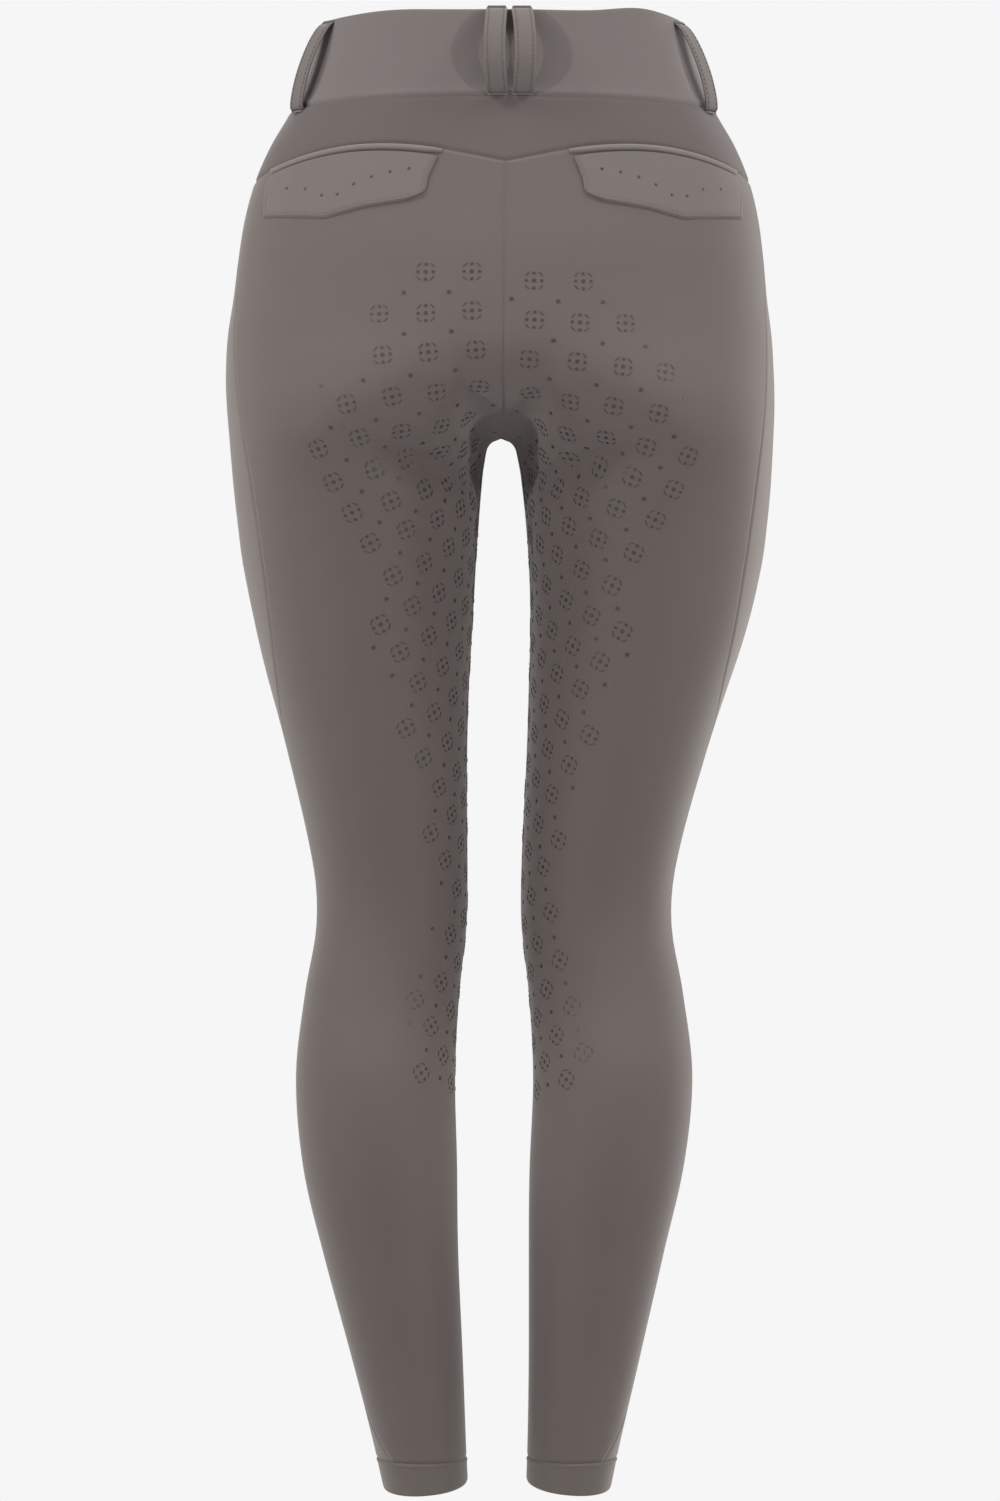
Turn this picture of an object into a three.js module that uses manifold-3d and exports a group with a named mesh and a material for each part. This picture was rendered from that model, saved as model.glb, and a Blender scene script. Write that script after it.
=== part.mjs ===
// Riding breeches, filled out as when worn, in millimetres.
// +Z is up, the wearer faces -Y, so the seat is on the +Y side and the wearer's left leg is at +X.
// The origin is the centre of the waist opening, level with the top edge of the waistband.
import * as THREE from 'three';
import * as BufferGeometryUtils from 'three/addons/utils/BufferGeometryUtils.js';
import Module from 'manifold-3d';

const wasm = await Module();
wasm.setup();

// Cloth and seams
const CLOTH = 1.5;
const SEAM_GAP = 0.3;
const HALF_GAP = SEAM_GAP / 2;
const LAYER_GAP = 0.3;

// Heights of the main seams, measured down from the waist edge
const WAISTBAND_HEIGHT = 57;
const CROTCH_Z = -276;
const SEAT_TURN_Z = -215;
const HEM_SEAM_Z = -956;
const HEM_EDGE_Z = -973;
const HEM_DROP_TO_BACK = 0.1;
const HEM_DROP_TO_OUTSIDE = 0.07;
const HEM_MIDDLE_X = 48;
const HEM_MIDDLE_Y = -8;

// Half of the body, section by section from the waist down: the outer side, the inner side and the
// back and front of one lobe. Down to the seat a lobe is the whole torso, then it is one leg.
const SECTIONS = [
  { z: 0, outer: 123.2, inner: -123.2, back: 92, front: -92 },
  { z: -30, outer: 131.5, inner: -131.5, back: 96, front: -95 },
  { z: -57, outer: 142, inner: -142, back: 100, front: -98 },
  { z: -80, outer: 155, inner: -155, back: 106, front: -101 },
  { z: -103, outer: 164.6, inner: -164.6, back: 112.5, front: -103.5 },
  { z: -128, outer: 171, inner: -171, back: 120, front: -105.5 },
  { z: -155, outer: 174.8, inner: -174.8, back: 128, front: -107 },
  { z: -182, outer: 177.5, inner: -175, back: 133.5, front: -106.5 },
  { z: -209, outer: 181, inner: -149, back: 137, front: -105.5 },
  { z: -235, outer: 182.2, inner: -82, back: 138, front: -103 },
  { z: -255, outer: 182, inner: -28, back: 136, front: -100 },
  { z: -276, outer: 180.8, inner: 5.5, back: 130.5, front: -98 },
  { z: -290, outer: 180, inner: 10.9, back: 124.5, front: -96.7 },
  { z: -309, outer: 178.8, inner: 13.5, back: 116, front: -96 },
  { z: -330, outer: 176.8, inner: 15.6, back: 109, front: -96 },
  { z: -360, outer: 173, inner: 17.8, back: 101.5, front: -95.5 },
  { z: -410, outer: 161.8, inner: 19.6, back: 92, front: -92 },
  { z: -480, outer: 141.2, inner: 20, back: 77.5, front: -84 },
  { z: -560, outer: 121.5, inner: 18.1, back: 60.5, front: -76 },
  { z: -600, outer: 119.1, inner: 18.4, back: 54.5, front: -74 },
  { z: -645, outer: 126.5, inner: 23.2, back: 56.5, front: -64 },
  { z: -700, outer: 132.3, inner: 26, back: 68, front: -56 },
  { z: -760, outer: 127, inner: 24.2, back: 66.3, front: -50.3 },
  { z: -820, outer: 113.3, inner: 23.5, back: 54.5, front: -46.2 },
  { z: -885, outer: 97.3, inner: 22.1, back: 42, front: -43 },
  { z: -945, outer: 82.9, inner: 20.6, back: 34, front: -44 },
  { z: -975, outer: 76.5, inner: 19.5, back: 31, front: -46 },
];

// A section is a superellipse, a little fuller than an ellipse
const FULLNESS = 2.1;

// Where the two lobes meet, the cloth bridges the cleft and the crotch in a round of this width
const BRIDGE = 22;
const BRIDGE_TOP_Z = -195;
const BRIDGE_FULL_Z = -250;

// The side seam, by its distance back from the middle of the side: it swings back on the thigh,
// lies at the side of the knee and sweeps back again at the ankle
const SIDE_SEAM = [
  { z: 0, y: 0 },
  { z: -100, y: -4 },
  { z: -150, y: 14 },
  { z: -185, y: 38 },
  { z: -219, y: 54 },
  { z: -270, y: 73 },
  { z: -324, y: 68 },
  { z: -381, y: 58 },
  { z: -437, y: 38 },
  { z: -480, y: 8 },
  { z: -520, y: -8 },
  { z: -700, y: 4 },
  { z: -880, y: -10 },
  { z: -915, y: -5 },
  { z: -930, y: 8 },
  { z: -946, y: 19 },
  { z: -960, y: 26 },
  { z: -975, y: 29 },
];

// The waist hangs a little to the wearer's right, the knees and calves to the left
const SWAY = [
  { z: 0, x: -1.8 },
  { z: -70, x: -2 },
  { z: -150, x: -0.6 },
  { z: -220, x: 0.5 },
  { z: -276, x: -0.6 },
  { z: -330, x: -1.5 },
  { z: -390, x: -1.2 },
  { z: -450, x: 1 },
  { z: -560, x: 3.5 },
  { z: -700, x: 4 },
  { z: -800, x: 4.6 },
  { z: -900, x: 2.6 },
  { z: -975, x: 1.8 },
];

// Lower edge of the yoke: a shallow V at centre back that runs into an arch over each flap
const YOKE_V_Z = -101;
const YOKE_JOIN_X = 41;
const YOKE_JOIN_Z = -92.4;
const YOKE_CREST_X = 88;
const YOKE_CREST_Z = -87.8;
const YOKE_SIDE_X = 164;
const YOKE_SIDE_Z = -104;

// Grid of each panel: columns from the inner edge to the side seam, rows from the seat to the hem
const COLUMNS = 12;
const BAND_ROWS = 3;
const YOKE_ROWS = 3;
const CROTCH_ROW = 12;
const LAST_ROW = 34;
const SIDE_Z_AT_CROTCH_ROW = -330;
const YOKE_SHAPE_ROWS = 4;
const INSEAM_SPREAD = 1.45;
const SEAM_LEVELS = 14;
const SEAM_TURNS = 24;

// How the cloth is searched for: the farthest reach of a ray, the step a slope is taken over, the
// longest move in one pass, and how far round the crotch a point may move up or down
const REACH = 260;
const SLOPE_STEP = 0.2;
const LONGEST_MOVE = 6;
const RAY_PASSES = 40;
const SHAPE_PASSES = 4;
const CLOTH_PASSES = 8;
const CROTCH_REACH_X = 80;
const CROTCH_REACH_Z = 70;

// Pocket flaps and their welts
const FLAP_THICKNESS = 1.2;
const WELT_THICKNESS = 2.2;
const WELT_HEIGHT = 4.6;
const WELT_INNER_X = 41;
const WELT_OUTER_X = 154;
const WELT_LOWER_INNER_X = 43;
const FLAP_TOP_INNER_X = 44;
const FLAP_ROWS = 5;
const OUTLINE_STEPS = 10;
const FLAP_LOWER_EDGE = [
  { x: 44, z: -98 },
  { x: 50, z: -112 },
  { x: 51, z: -119 },
  { x: 56, z: -124 },
  { x: 66, z: -127.3 },
  { x: 93, z: -131.2 },
  { x: 117, z: -137.2 },
  { x: 128, z: -136 },
  { x: 157, z: -133 },
  { x: 157.4, z: -120 },
  { x: 155, z: -105.6 },
];

// Belt loops: a folded strip that is sewn down at both ends and bows out between them
const LOOP_WIDTH = 14;
const LOOP_THICKNESS = 1.7;
const LOOP_RISE = 1;
const LOOP_STEPS = 14;
const LOOP_FLAT = 0.03;
const BACK_LOOP_BOW = 14;
const SIDE_LOOP_BOW = 8.5;
const SIDE_LOOP_Y = 32;
const SIDE_LOOP_RISE = -0.3;
const LOOP_FULLNESS = 0.55;
const BACK_LOOP_GAP = 2.2;
const BACK_LOOP_OFFSET = -2.5;
const BACK_LOOP_SPREAD = 1.5;
const FRONT_LOOP_BOW = 11;
const FRONT_LOOP_X = 55;

// Front closing: the left end of the waistband lies over the right one, with a button
const OVERLAP = 16;
const UNDERLAP_START = 42;
const UNDERLAP_FULL = 18;
const BUTTON_RADIUS = 8.5;
const BUTTON_THICKNESS = 3;
const BUTTON_SIDES = 20;
const BUTTON_Z = -28;
// Shares of the radius and of the thickness along the button's profile
const BUTTON_PROFILE = [
  { out: 0, up: 0 },
  { out: 0.55, up: 0 },
  { out: 1, up: 0.4 },
  { out: 0.94, up: 0.85 },
  { out: 0.72, up: 1 },
  { out: 0.6, up: 0.8 },
  { out: 0, up: 0.8 },
];
const ZIP_HALF_WIDTH = 12;
const ZIP_TOP_Z = -60;
const ZIP_BOTTOM_Z = -190;
const ZIP_THICKNESS = 1;
const ZIP_ROWS = 8;

// Smooth curve through the rows of a table, at height z, for one of its columns
function along(table, z, column) {
  let i = 0;
  while (i < table.length - 2 && z < table[i + 1].z) i += 1;
  const a = table[i];
  const b = table[i + 1];
  const before = table[Math.max(i - 1, 0)];
  const after = table[Math.min(i + 2, table.length - 1)];
  const t = THREE.MathUtils.clamp((z - a.z) / (b.z - a.z), 0, 1);
  const span = b.z - a.z;
  const slopeA = ((b[column] - before[column]) / (b.z - before.z)) * span;
  const slopeB = ((after[column] - a[column]) / (after.z - a.z)) * span;
  const t2 = t * t;
  const t3 = t2 * t;
  return (2 * t3 - 3 * t2 + 1) * a[column] + (t3 - 2 * t2 + t) * slopeA
    + (3 * t2 - 2 * t3) * b[column] + (t3 - t2) * slopeB;
}

// Centre and half sizes of one lobe at height z
function section(z) {
  const outer = along(SECTIONS, z, 'outer');
  const inner = Math.max(along(SECTIONS, z, 'inner'), -outer);
  const back = along(SECTIONS, z, 'back');
  const front = along(SECTIONS, z, 'front');
  return {
    cx: (outer + inner) / 2,
    cy: (back + front) / 2,
    rx: (outer - inner) / 2,
    ry: (back - front) / 2,
  };
}

// How far a point is outside one lobe, roughly in millimetres
function outsideLobe(x, y, s) {
  const across = Math.pow(Math.abs(x - s.cx) / s.rx, FULLNESS);
  const deep = Math.pow(Math.abs(y - s.cy) / s.ry, FULLNESS);
  return s.rx * (Math.pow(across + deep, 1 / FULLNESS) - 1);
}

// How far a point is outside the garment: the nearer lobe, with the two bridged where they meet
function outside(x, y, z) {
  const s = section(z);
  const left = outsideLobe(x, y, s);
  const right = outsideLobe(-x, y, s);
  const bridge = BRIDGE * THREE.MathUtils.smoothstep(-z, -BRIDGE_TOP_Z, -BRIDGE_FULL_Z);
  const near = Math.min(left, right);
  if (bridge === 0) return near;
  const overlap = Math.max(bridge - Math.abs(left - right), 0) / bridge;
  return near - (overlap * overlap * bridge) / 4;
}

// How fast outside() grows along each axis at a point
function slope({ x, y, z }) {
  const h = SLOPE_STEP;
  const change = new THREE.Vector3(
    outside(x + h, y, z) - outside(x - h, y, z),
    outside(x, y + h, z) - outside(x, y - h, z),
    outside(x, y, z + h) - outside(x, y, z - h),
  );
  return change.divideScalar(2 * h);
}

// Direction straight out of the cloth at a point
function outward(p) {
  return slope(p).normalize();
}

// Distance along a ray at which it leaves the garment
function exitDistance(origin, direction, farthest) {
  let low = 0;
  let high = farthest;
  for (let i = 0; i < RAY_PASSES; i += 1) {
    const middle = (low + high) / 2;
    const p = origin.clone().addScaledVector(direction, middle);
    if (outside(p.x, p.y, p.z) < 0) low = middle;
    else high = middle;
  }
  return (low + high) / 2;
}

// Lower edge of the yoke at distance x from the centre
function yokeEdge(x) {
  const d = Math.abs(x);
  if (d < YOKE_JOIN_X) return THREE.MathUtils.lerp(YOKE_V_Z, YOKE_JOIN_Z, d / YOKE_JOIN_X);
  if (d < YOKE_CREST_X) {
    const t = (YOKE_CREST_X - d) / (YOKE_CREST_X - YOKE_JOIN_X);
    return THREE.MathUtils.lerp(YOKE_CREST_Z, YOKE_JOIN_Z, t * t);
  }
  const t = (d - YOKE_CREST_X) / (YOKE_SIDE_X - YOKE_CREST_X);
  return THREE.MathUtils.lerp(YOKE_CREST_Z, YOKE_SIDE_Z, t * t);
}

// Lower edge of the hem at a point of the leg
function hemEdge(x, y) {
  const drop = HEM_DROP_TO_BACK * (y - HEM_MIDDLE_Y) + HEM_DROP_TO_OUTSIDE * (x - HEM_MIDDLE_X);
  return HEM_EDGE_Z - drop;
}

// Point of the side seam at height z
function sideSeam(z) {
  const s = section(z);
  const y = along(SIDE_SEAM, z, 'y');
  const start = new THREE.Vector3(s.cx, y, z);
  const reach = exitDistance(start, new THREE.Vector3(1, 0, 0), REACH);
  return new THREE.Vector3(s.cx + reach, y, z);
}

// The seam in the middle plane, from startZ down and under to the crotch: on the back where face
// is 1, on the front where it is -1
function centreSeam(face, startZ) {
  const middle = section(CROTCH_Z).cy;
  const points = [];
  for (let i = 0; i <= SEAM_LEVELS; i += 1) {
    const z = THREE.MathUtils.lerp(startZ, SEAT_TURN_Z, i / SEAM_LEVELS);
    const start = new THREE.Vector3(0, middle, z);
    const reach = exitDistance(start, new THREE.Vector3(0, face, 0), REACH);
    points.push(new THREE.Vector3(0, middle + face * reach, z));
  }
  for (let i = 1; i <= SEAM_TURNS; i += 1) {
    const angle = (i / SEAM_TURNS) * (Math.PI / 2);
    const direction = new THREE.Vector3(0, face * Math.cos(angle), -Math.sin(angle));
    const start = new THREE.Vector3(0, middle, SEAT_TURN_Z);
    const reach = exitDistance(start, direction, REACH);
    points.push(start.addScaledVector(direction, reach));
  }
  return points;
}

// Point at a share of the way along a line of points
function pointAlong(points, share) {
  const lengths = [0];
  for (let i = 1; i < points.length; i += 1) {
    lengths.push(lengths[i - 1] + points[i].distanceTo(points[i - 1]));
  }
  const target = share * lengths[lengths.length - 1];
  let i = 0;
  while (i < points.length - 2 && lengths[i + 1] < target) i += 1;
  const t = (target - lengths[i]) / (lengths[i + 1] - lengths[i]);
  return points[i].clone().lerp(points[i + 1], t);
}

// Angle of a point round its lobe, 0 at the outer side, a quarter turn at the back
function lobeAngle(p, face) {
  const s = section(p.z);
  const angle = Math.atan2((face * (p.y - s.cy)) / s.ry, (p.x - s.cx) / s.rx);
  return angle < -Math.PI / 2 ? angle + 2 * Math.PI : angle;
}

const backSeam = centreSeam(1, YOKE_V_Z);
const frontSeam = centreSeam(-1, -WAISTBAND_HEIGHT);
const crotchPoint = backSeam[backSeam.length - 1];

// Height at the side seam of a row. Row 0 is the top of the seat, rows -3 to 0 are the yoke's and
// rows -6 to -3 the waistband's
function rowSideZ(row) {
  if (row <= -YOKE_ROWS) return (-WAISTBAND_HEIGHT * (row + YOKE_ROWS + BAND_ROWS)) / BAND_ROWS;
  if (row <= 0) return THREE.MathUtils.lerp(YOKE_SIDE_Z, -WAISTBAND_HEIGHT, -row / YOKE_ROWS);
  if (row <= CROTCH_ROW) {
    return THREE.MathUtils.lerp(YOKE_SIDE_Z, SIDE_Z_AT_CROTCH_ROW, row / CROTCH_ROW);
  }
  const t = (row - CROTCH_ROW) / (LAST_ROW - CROTCH_ROW);
  return THREE.MathUtils.lerp(SIDE_Z_AT_CROTCH_ROW, HEM_SEAM_Z, t);
}

// Inner end of a row: on the centre seam above the crotch, on the inseam below it
function rowInner(face, row) {
  if (row > CROTCH_ROW) {
    const t = (row - CROTCH_ROW) / (LAST_ROW - CROTCH_ROW);
    const z = THREE.MathUtils.lerp(crotchPoint.z, HEM_SEAM_Z, Math.pow(t, INSEAM_SPREAD));
    const s = section(z);
    const start = new THREE.Vector3(s.cx, s.cy, z);
    const reach = exitDistance(start, new THREE.Vector3(-1, 0, 0), s.cx);
    return new THREE.Vector3(s.cx - reach, s.cy, z);
  }
  if (face > 0 && row >= 0) return pointAlong(backSeam, row / CROTCH_ROW);
  if (face < 0 && row >= -YOKE_ROWS) {
    return pointAlong(frontSeam, (row + YOKE_ROWS) / (CROTCH_ROW + YOKE_ROWS));
  }
  let z = rowSideZ(row);
  if (row > -YOKE_ROWS) z = THREE.MathUtils.lerp(YOKE_V_Z, -WAISTBAND_HEIGHT, -row / YOKE_ROWS);
  const start = new THREE.Vector3(0, 0, z);
  const reach = exitDistance(start, new THREE.Vector3(0, face, 0), REACH);
  return new THREE.Vector3(0, face * reach, z);
}

// How much of the yoke's shaped edge a row follows
function yokeShare(face, row) {
  if (face < 0) return 0;
  if (row <= 0) return THREE.MathUtils.clamp(1 + row / YOKE_ROWS, 0, 1);
  return THREE.MathUtils.clamp(1 - row / YOKE_SHAPE_ROWS, 0, 1);
}

// Moves a point onto the cloth, level with itself on the walls and straight out under the crotch
function ontoCloth(p, hold) {
  for (let i = 0; i < CLOTH_PASSES; i += 1) {
    const value = outside(p.x, p.y, p.z);
    const g = slope(p);
    const nearX = Math.max(0, 1 - Math.abs(p.x) / CROTCH_REACH_X);
    const nearZ = Math.max(0, 1 - Math.abs(p.z - CROTCH_Z) / CROTCH_REACH_Z);
    const tilt = hold ? 0 : nearX * nearZ;
    const steepness = g.x * g.x + g.y * g.y + tilt * g.z * g.z;
    const move = THREE.MathUtils.clamp(value / steepness, -LONGEST_MOVE, LONGEST_MOVE);
    p.x -= move * g.x;
    p.y -= move * g.y;
    p.z -= move * tilt * g.z;
  }
  return p;
}

// Points of a row of one face of the left half, from the inner edge to the side seam
function rowPoints(face, row) {
  const innerEnd = rowInner(face, row);
  const outerEnd = sideSeam(rowSideZ(row));
  const innerAngle = row > CROTCH_ROW ? Math.PI : lobeAngle(innerEnd, face);
  const outerAngle = lobeAngle(outerEnd, face);
  const share = yokeShare(face, row);
  const points = [];
  for (let column = 0; column <= COLUMNS; column += 1) {
    const u = column / COLUMNS;
    const angle = THREE.MathUtils.lerp(innerAngle, outerAngle, u);
    const level = THREE.MathUtils.lerp(innerEnd.z, outerEnd.z, u);
    const p = new THREE.Vector3(0, 0, level);
    const c = Math.cos(angle);
    const d = Math.sin(angle);
    const rounded = Math.pow(Math.abs(c), FULLNESS) + Math.pow(Math.abs(d), FULLNESS);
    const scale = Math.pow(rounded, -1 / FULLNESS);
    for (let pass = 0; pass < SHAPE_PASSES; pass += 1) {
      const s = section(p.z);
      p.x = s.cx + s.rx * c * scale;
      p.y = s.cy + face * s.ry * d * scale;
      const straight = THREE.MathUtils.lerp(YOKE_V_Z, YOKE_SIDE_Z, u);
      p.z = level + share * (yokeEdge(p.x) - straight);
    }
    if (column === 0) p.copy(innerEnd);
    else if (column === COLUMNS) p.copy(outerEnd);
    else ontoCloth(p, row <= 0 || row >= LAST_ROW);
    points.push(p);
  }
  return points;
}

// Rows of points with the direction out of the cloth at each, for one face of the left half
function faceGrid(face, firstRow, lastRow) {
  const rows = [];
  for (let row = firstRow; row <= lastRow; row += 1) {
    const points = rowPoints(face, row);
    const normals = points.map((p) => outward(p));
    if (row <= CROTCH_ROW) normals[0].setX(0).normalize();
    rows.push({ row, points, normals });
  }
  return rows;
}

// Parts a panel from its neighbours by half a seam gap along all its edges
function trimEdges(grid) {
  for (const { row, points, normals } of grid) {
    const toward = points[1].clone().sub(points[0]).normalize();
    if (row <= CROTCH_ROW) points[0].x = HALF_GAP;
    if (row >= CROTCH_ROW) points[0].addScaledVector(toward, HALF_GAP);
    const last = points.length - 1;
    const inward = points[last - 1].clone().sub(points[last]);
    inward.addScaledVector(normals[last], -inward.dot(normals[last])).normalize();
    points[last].addScaledVector(inward, HALF_GAP);
  }
  const top = grid[0].points;
  const bottom = grid[grid.length - 1].points;
  for (const p of top) p.z -= HALF_GAP;
  for (const p of bottom) p.z += HALF_GAP;
  return grid;
}

// Outer and inner points of a wall that lies between two distances out of a grid of points
function wall(grid, innerOffset, outerOffset) {
  const layer = (offset) => grid.map(({ points, normals }) =>
    points.map((p, i) => p.clone().addScaledVector(normals[i], offset)));
  return { outer: layer(outerOffset), inner: layer(innerOffset) };
}

// Closed geometry between an outer and an inner sheet of points, a ring where closed is true
function shell({ outer, inner }, closed = false) {
  const rows = outer.length;
  const columns = outer[0].length;
  const positions = [];
  for (const sheet of [outer, inner]) {
    for (const row of sheet) {
      for (const p of row) positions.push(p.x, p.y, p.z);
    }
  }
  const at = (sheet, row, column) => sheet * rows * columns + row * columns + (column % columns);
  const faces = [];
  const quad = (a, b, c, d) => faces.push(a, b, c, a, c, d);
  const spans = closed ? columns : columns - 1;
  for (let i = 0; i < rows - 1; i += 1) {
    for (let j = 0; j < spans; j += 1) {
      quad(at(0, i, j), at(0, i, j + 1), at(0, i + 1, j + 1), at(0, i + 1, j));
      quad(at(1, i, j), at(1, i + 1, j), at(1, i + 1, j + 1), at(1, i, j + 1));
    }
  }
  for (let j = 0; j < spans; j += 1) {
    quad(at(0, 0, j), at(1, 0, j), at(1, 0, j + 1), at(0, 0, j + 1));
    quad(at(0, rows - 1, j), at(0, rows - 1, j + 1), at(1, rows - 1, j + 1), at(1, rows - 1, j));
  }
  if (!closed) {
    const last = columns - 1;
    for (let i = 0; i < rows - 1; i += 1) {
      quad(at(0, i, 0), at(0, i + 1, 0), at(1, i + 1, 0), at(1, i, 0));
      quad(at(0, i, last), at(1, i, last), at(1, i + 1, last), at(0, i + 1, last));
    }
  }
  return facingOut(positions, faces);
}

// Geometry whose triangles are turned so that they all face out
function facingOut(positions, faces) {
  let volume = 0;
  const corner = (i) => new THREE.Vector3().fromArray(positions, 3 * faces[i]);
  for (let i = 0; i < faces.length; i += 3) {
    volume += corner(i).dot(corner(i + 1).cross(corner(i + 2)));
  }
  const turned = [];
  for (let i = 0; i < faces.length; i += 3) {
    if (volume > 0) turned.push(faces[i], faces[i + 1], faces[i + 2]);
    else turned.push(faces[i], faces[i + 2], faces[i + 1]);
  }
  const geometry = new THREE.BufferGeometry();
  geometry.setAttribute('position', new THREE.Float32BufferAttribute(positions, 3));
  geometry.setIndex(turned);
  return geometry;
}

// Places a left half's geometry on the given side and lets it follow the sway of the legs
function placed(geometry, side) {
  const position = geometry.getAttribute('position');
  const positions = [];
  for (let i = 0; i < position.count; i += 1) {
    const z = position.getZ(i);
    positions.push(side * position.getX(i) + along(SWAY, z, 'x'), position.getY(i), z);
  }
  return facingOut(positions, Array.from(geometry.index.array));
}

function toSolid(geometry) {
  const bare = geometry.clone();
  bare.deleteAttribute('normal');
  bare.deleteAttribute('uv');
  const merged = BufferGeometryUtils.mergeVertices(bare);
  return new wasm.Manifold(new wasm.Mesh({
    numProp: 3,
    vertProperties: new Float32Array(merged.getAttribute('position').array),
    triVerts: new Uint32Array(merged.index.array),
  }));
}

function toGeometry(solid) {
  const mesh = solid.getMesh();
  const positions = Array.from(mesh.vertProperties);
  const geometry = new THREE.BufferGeometry();
  geometry.setAttribute('position', new THREE.Float32BufferAttribute(positions, 3));
  geometry.setIndex(Array.from(mesh.triVerts));
  return geometry;
}

// Part of a shell behind an outline drawn in the X-Z plane, cut straight back along Y
function cutBehind(geometry, outline) {
  const shape = new THREE.Shape(outline.map((p) => new THREE.Vector2(p.x, p.z)));
  const prism = new THREE.ExtrudeGeometry(shape, { depth: REACH, bevelEnabled: false });
  prism.rotateX(Math.PI / 2);
  prism.translate(0, REACH, 0);
  return toGeometry(toSolid(geometry).intersect(toSolid(prism)));
}

const cloth = {
  seat: { color: 0x6f6661, roughness: 0.88 },
  front: { color: 0x857b74, roughness: 0.82 },
  waist: { color: 0x80766f, roughness: 0.8 },
  yoke: { color: 0x6a605a, roughness: 0.85 },
  trim: { color: 0x7a706a, roughness: 0.8 },
  hem: { color: 0x7b7069, roughness: 0.9 },
  button: { color: 0x4a4542, roughness: 0.4, metalness: 0.6 },
};

const group = new THREE.Group();

function addPiece(name, geometry, finish) {
  const material = new THREE.MeshStandardMaterial({ metalness: 0, ...finish });
  const flat = geometry.toNonIndexed();
  flat.computeVertexNormals();
  const mesh = new THREE.Mesh(flat, material);
  mesh.name = name;
  group.add(mesh);
}

const sides = [
  { name: 'left', side: 1 },
  { name: 'right', side: -1 },
];

// Back and front panels of both legs
const backGrid = trimEdges(faceGrid(1, 0, LAST_ROW));
const frontGrid = trimEdges(faceGrid(-1, -YOKE_ROWS, LAST_ROW));
const backPanel = shell(wall(backGrid, -CLOTH, 0));
const frontPanel = shell(wall(frontGrid, -CLOTH, 0));
for (const { name, side } of sides) {
  addPiece(`back_${name}`, placed(backPanel, side), cloth.seat);
  addPiece(`front_${name}`, placed(frontPanel, side), cloth.front);
}

// Mirrors a row and joins it to itself at the centre, from the right side seam to the left one
function acrossCentre(row) {
  const mirrored = (v) => new THREE.Vector3(-v.x, v.y, v.z);
  return {
    row: row.row,
    points: [...row.points.slice(1).reverse().map(mirrored), ...row.points],
    normals: [...row.normals.slice(1).reverse().map(mirrored), ...row.normals],
  };
}

// Yoke across the back, from side seam to side seam
const yokeHalf = faceGrid(1, -YOKE_ROWS, 0);
for (const { points, normals } of yokeHalf) {
  const inward = points[COLUMNS - 1].clone().sub(points[COLUMNS]);
  inward.addScaledVector(normals[COLUMNS], -inward.dot(normals[COLUMNS])).normalize();
  points[COLUMNS].addScaledVector(inward, HALF_GAP);
}
for (const p of yokeHalf[0].points) p.z -= HALF_GAP;
for (const p of yokeHalf[YOKE_ROWS].points) p.z += HALF_GAP;
const yoke = shell(wall(yokeHalf.map(acrossCentre), -CLOTH, 0));
addPiece('yoke_back', placed(yoke, 1), cloth.yoke);

// Point of the front waistband at x, with the direction out of the cloth
function frontPoint(x, z) {
  const start = new THREE.Vector3(x, 0, z);
  const reach = exitDistance(start, new THREE.Vector3(0, -1, 0), REACH);
  const point = new THREE.Vector3(x, -reach, z);
  return { point, normal: outward(point) };
}

// Waistband: one strip from its left end at the front, round the back, to its right end, which
// dips under the left one
function waistbandRow(row) {
  const back = rowPoints(1, row);
  const front = rowPoints(-1, row);
  const z = back[0].z;
  const mirrored = (p) => new THREE.Vector3(-p.x, p.y, p.z);
  const leftEnd = [-OVERLAP, -OVERLAP / 2].map((x) => frontPoint(x, z).point);
  const rightEnd = [OVERLAP / 2, OVERLAP].map((x) => frontPoint(x, z).point);
  const points = [
    ...leftEnd,
    ...front.slice(0, COLUMNS),
    ...back.slice(1).reverse(),
    ...back.slice(0, COLUMNS).map(mirrored),
    ...front.slice(1).reverse().map(mirrored),
    ...front.slice(0, 1),
    ...rightEnd,
  ];
  const copies = points.map((p) => p.clone());
  const normals = copies.map((p) => outward(p));
  const firstUnder = copies.length - COLUMNS;
  for (let i = firstUnder; i < copies.length; i += 1) {
    const share = THREE.MathUtils.smoothstep(copies[i].x, -UNDERLAP_START, -UNDERLAP_FULL);
    copies[i].addScaledVector(normals[i], -share * (CLOTH + LAYER_GAP));
  }
  return { row, points: copies, normals };
}

const bandGrid = [];
for (let row = -YOKE_ROWS - BAND_ROWS; row <= -YOKE_ROWS; row += 1) bandGrid.push(waistbandRow(row));
for (const p of bandGrid[BAND_ROWS].points) p.z += HALF_GAP;
addPiece('waistband', placed(shell(wall(bandGrid, -CLOTH, 0)), 1), cloth.waist);

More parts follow.
